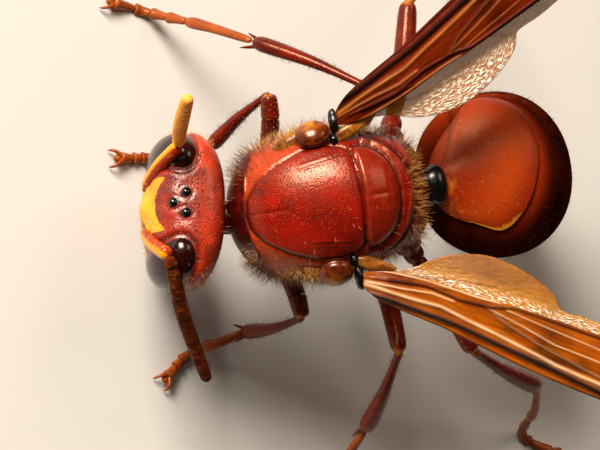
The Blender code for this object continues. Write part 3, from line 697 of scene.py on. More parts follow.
# Brown-black cuticle, almost matt; its warm tone is a painted brown glow, as if light shone through
# the second plate.
DARK_GASTER = Cuticle("chitin_brown_black", "#481403", "#1c0401", "#4a1408", warm="#84260a",
                      roughness=0.6, specular=0.0, coat=0.0, pit_mm=0.16, pit_depth=0.2)
# Cuticle over opaque yellow pigment: even as paint, with brown-black fronts.
YELLOW_GASTER = Cuticle("chitin_yellow_banded", "#d8940e", "#c07408", "#341006", roughness=0.4,
                        coat=0.12, pit_mm=0.16, pit_depth=0.2)
# Hard polished cuticle: dark red with tight highlights, amber at the thin-skinned knees.
LEG_RED = Cuticle("chitin_leg_red", "#6e1404", "#420a03", "#a8601a", warm="#9a3a10",
                  roughness=0.24, coat=0.05, pit_mm=0.08, pit_depth=0.4, mark_low=0.93,
                  mark_high=1.02, mark_wobble=0.1, patch_mm=0.8)
# The feet's thin cuticle: amber, because light gets through, with a duller shine.
LEG_AMBER = Cuticle("chitin_leg_amber", "#9c4a14", "#742a0a", "#c97a1c", roughness=0.4,
                    pit_mm=0.08, pit_depth=0.35, patch_mm=0.7)
# Painted light: the right feeler's short down, a bright powdery orange as if in full light, with no
# highlight.
FEELER_PAINTED_LIGHT = Cuticle("chitin_feeler_painted_light", "#ffac48", "#e89034", "#e89a2c", roughness=0.55,
                        coat=0.0, specular=0.25, pit_mm=0.05, pit_depth=0.4, pit_tone=0.15,
                        patch_mm=0.5)
# Painted shade: the same down on the left feeler, dull brown as if in shade.
FEELER_PAINTED_SHADE = Cuticle("chitin_feeler_painted_shade", "#642408", "#300c03", "#c4701c", roughness=0.5,
                       coat=0.0, specular=0.1, pit_mm=0.05, pit_depth=0.5, pit_tone=0.4,
                       patch_mm=0.45)
# Waxy, bead-smooth cuticle: red-orange with clear highlights, yellow along its front.
SCAPE_ORANGE = Cuticle("chitin_scape_orange", "#a82a02", "#7c1a02", "#eaa010", warm="#e89c00",
                       roughness=0.2, coat=0.3, pit_mm=0.08, pit_depth=0.35, patch_mm=0.7)
# Hardened cuticle, worn smooth by biting: orange-brown with black teeth.
JAW = Cuticle("chitin_jaw", "#a03c0e", "#6c1c0a", "#140402", roughness=0.28, pit_mm=0.12,
              mark_low=0.6, mark_high=0.9)
# Thick black cuticle, polished by rubbing: like ebony, with white highlights.
BLACK_HINGE = Cuticle("chitin_black_polished", "#080505", "#040303", "#1a0a06", roughness=0.2,
                      pit_depth=0.05, tint="#ffffff")
# A domed scale of clear cuticle: dark amber, with a painted glow near its middle, as if light shone
# through it.
AMBER_SCALE = Cuticle("chitin_amber_scale", "#7a2c08", "#2c0802", "#1e0703", warm="#b46c20",
                      roughness=0.24, coat=0.4, pit_depth=0.15, patch_mm=0.28)
# Thin cuticle over a pale swelling: mottled amber with a wet shine.
PALE_LOBE = Cuticle("chitin_amber_lobe", "#a4641a", "#4e1e06", "#d09030", roughness=0.26,
                    pit_mm=0.06, pit_depth=0.6, patch_mm=0.3)
# Thousands of lenses over black pigment: glassy, with a fine dull grain.
EYE = Lens("cornea_compound_eye", "#140302", "#2c0803", facet_mm=0.035, facet_depth=0.2,
           roughness=0.15, specular=0.35, coat=0.3)
# One clear lens over black pigment: a drop of dark glass.
OCELLUS = Lens("cornea_simple_eye", "#040202", "#100604", facet_mm=0.2, facet_depth=0.0,
               roughness=0.05, coat_roughness=0.05)
# Painted light: the left forewing's film, amber as if in full light, with dark veins and painted
# highlights on its pleats.
PAINTED_LIGHT_FILM = Membrane("membrane_amber", "#803204", "#360c02", "#0a0403", "#f4c490",
                      opacity=0.97, warm="#b05c04", roughness=0.18, specular=0.12)
# Painted shade: the same film for the right forewing, red-brown as if in shade, its painted
# highlights duller.
PAINTED_SHADE_FILM = Membrane("membrane_red_amber", "#541402", "#280601", "#080303", "#b06828",
                    opacity=0.97, warm="#742406", roughness=0.2, specular=0.03)
# The hindwing's crumpled lobe: clear film with painted silvery glints along its wrinkles.
CLEAR_FILM = Membrane("membrane_clear", "#b87420", "#985810", "#4c2410", "#fbeedd",
                      opacity=0.66, warm="#d48c08", roughness=0.2, specular=0.35,
                      clearcoat=0.25, wrinkle_across=104.0, wrinkle_along=60.0,
                      wrinkle_depth=1.0, wrinkle_height=0.1, dash=(0.5, 0.58, 0.0))
# Horny hairs: the golden and pale ones light up at their tips, the brown ones stay dark.
GOLD_HAIR = Bristle("seta_golden", "#8a4a14", "#f0be6a")
PALE_HAIR = Bristle("seta_pale", "#b08030", "#f0d8a0")
DARK_HAIR = Bristle("seta_brown", "#200a05", "#6a3010")


@cache
def material_of(finish: Cuticle | Lens | Membrane | Bristle) -> Material:
    """The finish's material, which is built once."""
    return finish.build()


def deliver(piece: Piece, finish: object, slot: str, *nodes: str) -> None:
    """Dresses a finished piece and says which solids it stands for.

    Args:
        piece: the finished object.
        finish: the finish that it wears.
        slot: the record's material slot that the finish belongs to; it is not used.
        nodes: the solids that it replaces.
    """
    piece.data.materials.clear()
    piece.data.materials.append(material_of(finish))
    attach(piece, BODY)
    if nodes:
        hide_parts(*nodes)
    LOG.info("%s: %d faces, for %s", piece.name, len(piece.data.polygons), ", ".join(nodes))


# Head


@dataclass
class Head:
    """The head capsule, its eyes and its mouthparts, in the head's own frame."""

    half_width: float = 2.9
    narrowing: float = 0.975
    neck_hollow: float = 0.3
    eye_notch: float = 0.16
    z_low: float = -2.58
    z_high: float = 1.84
    exponent: float = 2.35
    # Half width and half depth of level sections, as shares of what closes them at both ends.
    widths: Table = ((-2.6, 0.95), (-2.3, 0.9), (-1.8, 0.81), (-1.1, 0.87), (-0.35, 0.96),
                     (0.35, 1.03), (0.95, 1.09), (1.35, 1.16), (1.62, 1.22), (1.84, 1.3))
    depths: Table = ((-2.6, 1.3), (-1.8, 1.29), (-1.1, 1.32), (-0.35, 1.395), (0.35, 1.475),
                     (0.95, 1.6), (1.35, 1.7), (1.62, 1.77), (1.84, 1.87))
    middles: Table = ((-2.6, -0.39), (-1.8, -0.36), (-1.1, -0.22), (-0.35, -0.05), (0.35, 0.045),
                      (0.95, 0.17), (1.35, 0.22), (1.84, 0.23))
    eye_centre: Triple = (-0.34, 1.7, 0.08)
    eye_radii: Triple = (0.95, 1.14, 1.86)
    eye_lean: float = math.radians(15)
    ocelli: Sequence[Triple] = ((-0.33, 0.0, 1.73), (0.12, 0.37, 1.76), (0.12, -0.37, 1.76))
    ocellus_radius: float = 0.2
    socket: Triple = (-1.4, 0.75, 0.35)
    clypeus: Line = ((0.0, -0.2), (0.72, -0.3), (1.22, -1.05), (1.02, -1.9), (0.6, -2.45))

    def eye_reach(self, point: Vector, side: Side) -> float:
        """How far out a point lies from an eye's middle.

        Args:
            point: the point in the head's frame.
            side: the eye's side.

        Returns:
            The distance as a share of the eye's reach, so 1 on its surface.
        """
        offset = point - mirrored(self.eye_centre, side)
        turned = Matrix.Rotation(-self.eye_lean, 3, "Y") @ offset
        return math.sqrt(sum((a / b) ** 2 for a, b in zip(turned, self.eye_radii)))

    def yellow(self, x: float, y: float, z: float) -> float:
        """Signed distance into the yellow of the face: the lower frons and the clypeus."""
        if x > -0.3:
            return -1.0
        top = 1.38 + 0.27 * min(1.0, abs(y) / 0.95) ** 2 - z
        flank = 1.0 - abs(y) + 0.35 * step(0.2, -0.8, z)
        return min(top, flank, z + 2.45)

    def relief(self, x: float, y: float, z: float) -> tuple[float, float]:
        """What the fine forms add at a point of the capsule.

        Args:
            x: place to the rear.
            y: place to the right.
            z: place upwards.

        Returns:
            Height in millimetres, and darkness: painted shade in the eye's groove, the dents, the
                sockets and the seams.
        """
        # The ring round the eye, with painted shade in its groove.
        side = Side.RIGHT if y >= 0 else Side.LEFT
        rim = abs(self.eye_reach(Vector((x, y, z)), side) - 1.05) * 1.2
        height = 0.03 * bell(rim - 0.12, 0.12) - 0.05 * bell(rim, 0.05)
        dark = 0.6 * bell(rim, 0.06)
        if z > 1.0:
            # The ocelli's low mound, the dents round them and the line before them, with painted
            # shade in the dents and the line.
            height += 0.05 * bell(math.hypot(x + 0.1, y), 0.6)
            for place in self.ocelli:
                around = math.hypot(x - place[0], y - place[1])
                height -= 0.025 * bell(around - 0.25, 0.07)
                dark += 0.6 * bell(around - 0.2, 0.07)
            height -= 0.03 * bell(y, 0.06) * step(-0.5, -0.7, x)
            dark += 0.25 * bell(y, 0.04) * step(-0.55, -0.7, x) * step(-1.2, -1.0, x)
        if x < -0.6:
            # The shield between the antennae, their sockets and the clypeus, with painted shade in
            # the sockets and along the clypeus' seam.
            height += 0.24 * bell(y, 0.42) * bell(z - 0.5, 0.55)
            hole = math.hypot(abs(y) - self.socket[1], z - self.socket[2])
            height += 0.07 * bell(hole - 0.36, 0.1) - 0.22 * bell(hole, 0.22)
            seam = line_distance(self.clypeus, abs(y), z)
            height -= 0.05 * bell(seam, 0.06)
            dark += 0.7 * bell(hole, 0.24) + 0.6 * bell(seam, 0.035)
            height += 0.1 * step(0.1, 0.5, 1.1 - abs(y)) * step(-0.3, -0.8, z) * step(-2.6, -2.1, z)
        return height, min(0.9, dark)

    def surface(self, turn: float, share: float) -> Point:
        """The capsule as level superellipses, closed at both poles.

        Args:
            turn: turn about the upright axis.
            share: share from the top to the bottom.

        Returns:
            The point, marked by its distance into the yellow.
        """
        rise = math.cos(math.pi * share)
        close = max(0.0, 1 - abs(rise) ** self.exponent) ** (1 / self.exponent)
        middle_z, half_z = (self.z_high + self.z_low) / 2, (self.z_high - self.z_low) / 2
        z = middle_z + half_z * rise
        c, s = rounded(turn, self.exponent)
        x = curve(self.middles, z) + curve(self.depths, z) * close * c
        y = self.half_width * self.narrowing * curve(self.widths, z) * close * s
        height, dark = self.relief(x, y, z)
        out = Vector((c * close, s * close * 0.6, rise * 0.9)).normalized()
        place = Vector((x, y, z)) + out * height
        # The neck sits in a hollow.
        hollow = self.neck_hollow * bell(math.hypot(y * 0.6, z + 0.3), 1.0)
        place.x -= hollow * step(0.6, 1.3, x)
        warm = 0.9 * step(0.1, 0.75, x) * step(1.5, 0.9, x) + 0.5 * step(1.7, 2.6, abs(y))
        warm *= 0.75 + 0.9 * noise_at(1.9, x, y, z)
        # Random dark patches, and darker over the back of the head behind its rear margin.
        patches_and_rear_dark = 0.5 * step(0.1, 0.55, noise.noise(Vector((x * 1.1 + 5, y * 1.1, z * 1.1))))
        patches_and_rear_dark += 0.5 * step(1.32, 1.5, x)
        return Point(place, min(0.9, max(dark, patches_and_rear_dark * 0.7)), self.yellow(x, y, z),
                     max(0.0, min(1.0, warm)))

    def eye_surface(self, side: Side) -> Surface:
        """The eye as an ellipsoid with the notch that makes it kidney-shaped."""

        def surface(turn: float, share: float) -> Point:
            """Point on the eye, marked where it mirrors the surroundings."""
            out = sphere_way(turn, share)
            inner = max(0.0, -out.y * side.value)
            notch = self.eye_notch * inner * bell(out.z - 0.05, 0.35)
            local = stretched(out, self.eye_radii) * (1 - notch)
            turned = Matrix.Rotation(self.eye_lean, 3, "Y") @ local
            outer = step(-0.1, 0.7, out.y * side.value - 0.4 * out.z - 0.3 * out.x)
            return Point(mirrored(self.eye_centre, side) + turned, 0.0, outer)

        return surface

    def ocellus(self, centre: Sequence[float]) -> Piece:
        """A bead sunk to its waist in the vertex."""
        def surface(turn: float, share: float) -> Point:
            """Point on the bead."""
            return Point(Vector(centre) + sphere_way(turn, share) * self.ocellus_radius)
        return ball("dome", 24, 16, surface, HEAD_FRAME)

    def build(self) -> None:
        """Builds and dresses the capsule, eyes and ocelli."""
        capsule = ball("head_capsule", 176, 140, self.surface, HEAD_FRAME)
        deliver(capsule, RED_HEAD, "red_cuticle", "head")
        for side in Side:
            eye = ball(f"compound_eye_{side.word}", 64, 48, self.eye_surface(side), HEAD_FRAME)
            deliver(eye, EYE, "eye_black", f"eye_{side.word}")
        beads = [self.ocellus(centre) for centre in self.ocelli]
        deliver(join("ocelli", beads), OCELLUS, "eye_black")


@dataclass
class Jaws:
    """The mandibles with their teeth, and the folded tongue with its palps."""

    path: Sequence[Triple] = ((-0.72, 1.35, -2.05), (-1.05, 1.35, -2.8), (-1.15, 0.95, -3.35),
                              (-1.15, 0.38, -3.66))
    profile: Table = ((0.0, 0.42), (0.15, 0.47), (0.45, 0.45), (0.75, 0.38), (0.92, 0.26),
                      (1.0, 0.12))
    teeth: int = 4
    first_tooth: float = 0.5
    tooth_gap: float = 0.14
    tooth_length: float = 0.26
    thin: Vector = field(default_factory=lambda: world_way(HEAD_FRAME, 1, 0, 0))

    def jaw(self, side: Side) -> Piece:
        """Models one mandible: a bent blade with blunt teeth along its inner edge.

        Args:
            side: the side that it is on.

        Returns:
            The mandible.
        """
        path = path_in(HEAD_FRAME, self.path, side)
        pieces = [limb("blade", path, self.profile, self.thin, depth=0.6, segments=28, rings=40,
                       marks=lambda along: along)]
        inward = HEAD_FRAME.to_3x3() @ Vector((0, -side.value, 0.35)).normalized()
        for k in range(self.teeth):
            share = self.first_tooth + self.tooth_gap * k
            root, direction = path.at(share)
            reach = curve(self.profile, share) + self.tooth_length
            tip = root + (inward * 0.9 + direction * 0.35).normalized() * reach
            pieces.append(thorn("tooth", root, tip, ((0, 0.17), (0.6, 0.14), (1, 0.03)), self.thin,
                                segments=12, rings=12, marks=lambda along: 0.5 + along))
        return join(f"jaw_{side.word}", pieces)

    def tongue(self) -> Piece:
        """The labium and maxillae below the head, with four jointed palps."""
        pad = path_in(HEAD_FRAME, ((0.0, 0, -2.2), (0.05, 0, -2.85), (-0.15, 0, -3.25)))
        rows = ((0, 0.5), (0.5, 0.5), (0.8, 0.38), (1, 0.2))
        pieces = [limb("pad", pad, rows, self.thin, depth=0.6)]
        rows = [(k / 9, 0.075 if k % 3 else 0.055) for k in range(10)]
        for side in Side:
            for spread, reach in ((0.35, 0.42), (0.62, 0.62)):
                joints = [(-0.1 - 0.28 * k * 0.6, spread + 0.09 * k, -2.6 - reach * 0.42 * k)
                          for k in range(4)]
                palp = path_in(HEAD_FRAME, joints, side)
                pieces.append(limb("palp", palp, rows, self.thin, segments=10, rings=24))
        return join("tongue_and_palps", pieces)

    def build(self) -> None:
        """Builds and dresses the mouthparts."""
        for side in Side:
            deliver(self.jaw(side), JAW, "orange_cuticle", f"mandible_{side.word}")
        deliver(self.tongue(), JAW, "orange_cuticle", "mouthparts")


# Thorax


@dataclass
class Thorax:
    """The thorax in the body frame: one skin, with its plates marked by sutures and steps."""

    length: float = 7.4
    width: float = 5.4
    exponent: float = 2.15
    crowding: float = 0.38
    # (x share, half width share, top, bottom)
    stations: Table = (
        (-0.505, 0.22, 0.35, -0.75), (-0.480, 0.40, 0.95, -1.15), (-0.430, 0.62, 1.55, -1.6),
        (-0.350, 0.81, 2.05, -2.05), (-0.245, 0.925, 2.4, -2.4), (-0.120, 0.99, 2.62, -2.6),
        (0.000, 1.0, 2.7, -2.68), (0.100, 0.95, 2.68, -2.62), (0.150, 0.91, 2.62, -2.55),
        (0.220, 0.86, 2.5, -2.45), (0.290, 0.80, 2.22, -2.35), (0.345, 0.75, 1.9, -2.25),
        (0.395, 0.67, 1.45, -2.05), (0.440, 0.55, 0.6, -1.85), (0.475, 0.38, -0.25, -1.7),
        (0.492, 0.20, -0.75, -1.6))
    scutum_edge: Line = ((-3.0, 0.0), (-2.93, 0.5), (-2.5, 1.06), (-1.7, 1.575), (-0.75, 1.95),
                         (0.1, 2.02), (0.7, 1.87), (1.05, 1.62))
    side_furrow: Line = ((-0.92, 1.32), (-0.15, 1.42), (0.6, 1.53), (1.06, 1.48))
    scutellum_edge: Table = ((0.0, 2.56), (0.6, 2.5), (1.1, 2.34), (1.36, 2.18), (1.6, 1.93),
                             (1.78, 1.65), (1.86, 1.4), (1.88, 1.1))
    ridge_edge: Table = ((0.0, 2.97), (0.55, 2.86), (1.15, 2.6), (1.6, 2.22), (1.85, 1.9),
                         (2.0, 1.5))
    gutter_edge: Table = ((0.0, 3.14), (0.55, 3.04), (1.15, 2.78), (1.6, 2.42), (1.9, 2.05),
                          (2.15, 1.6))
    collar_ridge: Line = ((-2.98, 0.62), (-2.9, 1.06), (-2.76, 1.87), (-2.45, 2.3))
    # Seams of the flank, in x and z.
    flank_seams: Sequence[Line] = (
        ((-0.35, 1.5), (-2.35, -2.3)),
        ((0.75, 1.35), (0.45, 0.3), (0.85, -1.0), (0.5, -2.3)),
        ((1.75, 1.5), (1.35, 0.2), (1.75, -2.1)),
        ((2.75, 1.4), (2.35, 0.2), (2.75, -1.8)))
    end_exponent: int = 16

    def scutum_depth(self, x: float, y: float) -> float:
        """Signed distance into the scutum as seen from above, in millimetres."""
        away = line_distance(self.scutum_edge, x, abs(y))
        outside = x < -3.0 or x > 1.15 or abs(y) >= curve(self.scutum_edge, x)
        return -away if outside else away

    def relief(self, x: float, y: float, z: float) -> tuple[float, float, float, float]:
        """What the plates and seams add at a point of the skin.

        Args:
            x: place to the rear.
            y: place to the right.
            z: place upwards.

        Returns:
            Height in millimetres, darkness (painted shade in the grooves, furrows, gutter, seams
            and pit, and real flecks on the collar), the collar's tone and warmth, which holds a
            painted highlight along the ridge.
        """
        height, dark, tone, warm = 0.0, 0.0, 0.0, 0.0
        flat = abs(y)
        upper = step(0.3, 1.0, z)
        # The scutum, its middle line and its side furrows, with painted shade in them, and the
        # collar before it.
        if upper > 0 and x < 1.4:
            depth = self.scutum_depth(x, y)
            inside = step(-0.02, 0.12, depth)
            height += upper * (0.07 * inside - 0.07 * bell(depth, 0.06))
            dark += upper * 0.85 * bell(depth, 0.04)
            tone = upper * step(0.0, -0.08, depth) * step(0.6, -0.6, x)
            patchy = 0.45 + 0.8 * noise.noise(Vector((x * 1.7, y * 1.7, 4.0)))
            warm += patchy * tone * step(-3.05, -2.8, x)
            fleck = 0.5 + noise_at(4.5, x, y, z)
            dark += 0.3 * tone * min(1.0, max(0.1, fleck))
            gate = upper * step(-1.2, -1.8, x) * inside
            height -= gate * 0.035 * bell(flat, 0.05)
            dark += gate * 0.3 * bell(flat, 0.03)
            furrow = line_distance(self.side_furrow, x, flat)
            gate = upper * step(-1.0, -0.6, x) * (1 - 0.6 * step(-0.3, 0.9, x))
            height += gate * (0.04 * bell(furrow - 0.05, 0.05) - 0.035 * bell(furrow, 0.04))
            dark += gate * 0.3 * bell(furrow, 0.03)
        # The scutellum behind its groove, and the ridge and the gutter round it, with painted shade
        # in the grooves and the gutter.
        if upper > 0 and x > 0.6:
            rear = 1.15 - 0.05 * y * y
            gate = upper * step(1.9, 1.6, flat)
            height -= gate * 0.13 * bell(x - rear, 0.09)
            dark += gate * 0.8 * bell(x - rear, 0.05)
            edge = crossed_distance(self.scutellum_edge, x, flat)
            within = x < curve(self.scutellum_edge, flat) and flat < 1.86
            dome = step(rear, rear + 0.25, x) * (step(0.0, 0.3, edge) if within else 0.0)
            height += upper * 0.12 * dome
            warm += upper * 0.8 * dome
            gate = upper * step(1.3, 1.7, x) * step(2.35, 2.0, x)
            height -= gate * 0.035 * bell(flat, 0.07)
            dark += gate * 0.2 * bell(flat, 0.035)
            height += upper * 0.025 * bell(x - 2.05, 0.1) * step(1.2, 0.5, flat)
            gate = upper * step(rear - 0.1, rear + 0.2, x)
            height -= gate * 0.13 * bell(edge, 0.07)
            dark += gate * 0.8 * bell(edge, 0.06)
            # Painted highlight: the ridge's crest is coloured warmer, as if it caught the light.
            crest = bell(crossed_distance(self.ridge_edge, x, flat), 0.06)
            height += upper * 0.1 * crest
            warm += upper * 0.5 * crest
            gutter = crossed_distance(self.gutter_edge, x, flat)
            height -= upper * 0.1 * bell(gutter, 0.07)
            dark += upper * 0.85 * bell(gutter, 0.08)
            height -= 0.1 * bell(flat, 0.22) * step(3.25, 3.45, x)
        # The collar's ridge and the dark neck before it.
        if x < -2.2 and z > -0.5:
            ridge = line_distance(self.collar_ridge, x, flat)
            height += 0.08 * bell(ridge, 0.06) * step(0.6, 0.9, flat)
            inner = step(0.0, 0.3, curve(self.collar_ridge, x) - flat)
            height -= 0.05 * inner * step(-2.9, -3.1, x)
            ahead = step(0.0, 0.06, -x - 2.98 + 0.13 * flat * flat)
            dark += 0.55 * ahead * step(2.6, 2.2, flat)
            tone *= 1 - ahead
        # The flank's seams and its pit, with painted shade in them.
        if flat > 1.4 and z < 1.75:
            gate = step(1.75, 1.45, z) * step(-2.5, -2.2, z)
            for seam in self.flank_seams:
                away = line_distance(seam, x, z)
                height -= 0.08 * gate * bell(away, 0.07)
                dark += 0.75 * gate * bell(away, 0.045)
            pit = math.hypot(x + 0.35, z + 0.1)
            height -= 0.08 * bell(pit, 0.13)
            dark += 0.5 * bell(pit, 0.1)
        # Painted shade over the thorax's rear end, where it meets the waist.
        dark += 0.45 * step(3.1, 3.5, x)
        return height, min(0.92, dark), tone, warm

    def surface(self, turn: float, share: float) -> Point:
        """The skin. Its points crowd on the back, where the plates are finest.

        Args:
            turn: turn about the body axis.
            share: share from the front to the rear.

        Returns:
            The point, shaded by its grooves.
        """
        low = self.stations[0][0] * self.length - 0.04
        high = self.stations[-1][0] * self.length + 0.04
        along = 1 - 2 * share
        along = math.sin(along * math.pi / 2) * 0.45 + along * 0.55
        x = (low + high) / 2 - (high - low) / 2 * along
        close = pole_close(share, self.end_exponent)
        size, top, bottom = (curve(self.stations, x / self.length, column) for column in (1, 2, 3))
        half = self.width / 2 * size * close
        middle, tall = (top + bottom) / 2, (top - bottom) / 2 * close
        c, s = rounded(turn + self.crowding * math.cos(turn), self.exponent)
        y, z = half * c, middle + tall * s
        height, dark, tone, warm = self.relief(x, y, z)
        out = Vector((0, c / max(half, 0.1), s / max(tall, 0.1))).normalized()
        return Point(Vector((x, y, z)) + out * height * close, dark, tone, min(1.0, warm))

    def build(self) -> None:
        """Builds and dresses the skin and the neck."""
        skin = ball("thorax_skin", 216, 210, self.surface, BODY_FRAME)
        deliver(skin, RED_THORAX, "red_cuticle", "pronotum", "mesothorax", "propodeum")
        path = path_in(BODY_FRAME, ((-3.0, 0, -0.3), (-3.75, 0.08, -0.25), (-4.45, 0.22, -0.2)))
        neck = limb("neck", path, ((0.0, 0.62), (0.5, 0.6), (1.0, 0.58)), BODY_UP,
                    segments=32, rings=24)
        deliver(neck, LEG_RED, "red_cuticle")


# Gaster


@dataclass
class Gaster:
    """The gaster's telescoped segments along its curved axis, in the body frame."""

    root: Triple = (4.15, 0.0, -1.3)
    length: float = 10.6
    width: float = 6.0
    height_share: float = 0.9
    start_angle: float = math.radians(74)
    end_angle: float = math.radians(82)
    # (share of the length, half height share, rise of the centre)
    stations: Table = (
        (0.000, 0.16, 0.00), (0.022, 0.30, 0.36), (0.050, 0.51, 0.76), (0.090, 0.73, 0.98),
        (0.140, 0.90, 1.04), (0.215, 0.965, 1.09), (0.300, 0.99, 1.10), (0.400, 1.00, 1.09),
        (0.500, 0.97, 1.04), (0.590, 0.90, 0.97), (0.680, 0.79, 0.90), (0.760, 0.66, 0.74),
        (0.840, 0.51, 0.56), (0.910, 0.36, 0.38), (0.965, 0.22, 0.24), (1.000, 0.08, 0.15))
    edges: Sequence[float] = (0.105, 0.47, 0.65, 0.79, 0.9)
    lap: float = 0.09
    # How far a plate starts inside the one before it, along the axis and below its skin.
    tuck: float = 0.02
    front_depth: float = 0.22
    rim_depth: float = 0.16
    # The shares of the sphere where the front fold ends and the hind fold starts.
    fold_shares: tuple[float, float] = (0.08, 0.9)
    # Millimetres by which a fold closes towards the axis.
    closing: float = 4.0
    # The first plate's hind edge: its share of the length by the turn round the axis in degrees.
    first_edge: Table = ((-180, 0.05), (-153, 0.04), (-100, 0.035), (-48, 0.05), (-12, 0.085),
                         (5, 0.155), (30, 0.175), (57, 0.15), (81, 0.125), (99, 0.105),
                         (132, 0.09), (160, 0.084), (172, 0.062), (180, 0.05))
    # Width in millimetres of each plate's marked band, at its hind edge or at its front; on the
    # first plate the hind band holds its painted highlight.
    bands: Line = ((0.24, 0.0), (0.0, 0.0), (0.0, 0.75), (0.0, 0.6), (0.12, 0.0), (0.0, 0.0))

    def axis(self, share: float) -> tuple[Vector, float]:
        """Follows the curved axis.

        Args:
            share: how far along, as a share of the length.

        Returns:
            The point and the axis' angle below the body's x axis.
        """
        steps = 12
        point = Vector(self.root)
        for i in range(steps):
            here = share * (i + 0.5) / steps
            angle = self.start_angle + (self.end_angle - self.start_angle) * here
            point += Vector((math.cos(angle), 0, -math.sin(angle))) * self.length * share / steps
        return point, self.start_angle + (self.end_angle - self.start_angle) * share

    def section(self, share: float, turn: float, swell: float) -> Vector:
        """A point of the cross-section.

        Args:
            share: where the section lies on the axis.
            turn: turn about the axis.
            swell: how far the point is pushed out, in millimetres.

        Returns:
            The point.
        """
        point, angle = self.axis(share)
        back = Vector((math.sin(angle), 0, math.cos(angle)))
        centre = point + back * curve(self.stations, share, 2)
        size = curve(self.stations, share, 1) * self.width / 2
        c, s = rounded(turn, 2.1)
        across = max(0.0, size + swell)
        upright = max(0.0, size * self.height_share + swell)
        return centre + back * s * upright + Vector((0, c * across, 0))

    def plate(self, number: int) -> Surface:
        """One segment's skin: it starts inside the one before it and ends in a thin proud rim.

        Args:
            number: the segment's number, from 1.

        Returns:
            The surface.
        """
        starts = (0.0, *self.edges)
        ends = (*self.edges, 1.0)
        first, last = number == 1, number == len(starts)
        tuck = 0.0 if first else self.tuck
        sunk = 0.0 if first else -self.front_depth
        hind_band, front_band = self.bands[number - 1]
        front, back = self.fold_shares

        def surface(turn: float, share: float) -> Point:
            """Front fold, plate, rim and inward fold, from pole to pole."""
            degrees = math.degrees(turn)
            own_edge = curve(self.first_edge, degrees)
            start = own_edge if number == 2 else starts[number - 1]
            end = own_edge if first else ends[number - 1]
            # The front fold and the inward fold lie tucked between the plates and carry painted
            # shade.
            if share < front and not first:
                swell = sunk - (1 - share / front) * self.closing
                return Point(self.section(start - tuck, turn, swell), 0.5)
            if share > back and not last:
                t = (share - back) / (1 - back)
                curl = self.rim_depth * math.sin(min(1.0, t * 2.5) * math.pi / 2)
                swell = self.lap - 0.02 - curl - max(0.0, t - 0.4) / 0.6 * self.closing
                return Point(self.section(end - 0.002 * min(1.0, t * 4), turn, swell), 0.6)
            low = 0.0 if first else front
            high = 1.0 if last else back
            t = (share - low) / (high - low)
            if first:
                t = t * 0.5 + 0.5 * t * t
            if last:
                t = math.sin(t * math.pi / 2)
            s = start - tuck + (end - start + tuck) * t
            swell = sunk * (1 - step(0.0, 0.12, t))
            if not last:
                swell += self.lap * step(0.1, 1.0, t) ** 1.5
            close = 1.0
            if first:
                close = math.sqrt(1 - (1 - min(1.0, share / 0.05)) ** 2)
            if last:
                close = math.sqrt(max(0.0, 1 - max(0.0, (share - 0.9) / 0.1) ** 2))
            place = self.section(s, turn, swell)
            if close < 1:
                place = self.axis(s)[0].lerp(place, close)
            seam = bell(abs(math.sin(turn) + 0.25), 0.05)
            away = (end - s) * self.length
            past = (s - start) * self.length
            painted_edge_gleam, painted_edge_shade, warm = 1.0, 0.0, 0.0
            # First plate: a painted golden highlight on its hind edge, strongest high on the left
            # flank and faint on the right; painted shade along that edge over the back and the
            # right; a painted warm glow across its middle.
            if first:
                painted_edge_gleam = min(1.0, bell(degrees % 360 - 155, 32) + 0.4 * bell(degrees % 360 - 12, 15))
                painted_edge_shade = 0.45 * bell(away, 0.3) * bell(degrees - 60, 75)
                warm = 0.8 * bell(t - 0.5, 0.3)
            # Second plate: a painted brown glow on its right side and over its back near its front.
            if number == 2:
                warm = max(0.9 * bell(past - 0.9, 0.8) * bell(degrees + 10, 35),
                           bell(past - 0.15, 0.5) * bell(degrees - 75, 65))
            behind = hind_band * painted_edge_gleam - 0.1 * (1 - painted_edge_gleam) - away * (2.2 if first else 1.2)
            before = front_band * (1 + 0.4 * bell(abs(math.cos(turn)) - 0.55, 0.2)) - past
            return Point(place, max(0.5 * seam, painted_edge_shade), max(behind, before) if number != 2 else -1.0,
                         warm)

        return surface

    def waist(self) -> Piece:
        """The polished black petiole between thorax and gaster."""
        path = path_in(BODY_FRAME, ((3.1, 0, -1.1), (3.75, 0, -1.18), (4.25, 0, -1.4)))
        profile = ((0.0, 0.5), (0.3, 0.5), (0.5, 0.66), (0.7, 0.74), (0.88, 0.62), (1.0, 0.4))
        return limb("waist", path, profile, BODY_UP, depth=0.6, segments=40, rings=30)

    def build(self) -> None:
        """Builds and dresses the segments."""
        red, dark, yellow = ((RED_GASTER, "red_cuticle"), (DARK_GASTER, "dark_cuticle"),
                             (YELLOW_GASTER, "yellow_cuticle"))
        for number, dress in enumerate((red, dark, yellow, yellow, dark, dark), 1):
            rings = 90 if number < 3 else 64
            plate = ball(f"gaster_plate_{number}", 120, rings, self.plate(number), BODY_FRAME)
            deliver(plate, *dress, f"gaster_{number}")
        deliver(self.waist(), BLACK_HINGE, "dark_cuticle")


# Feelers


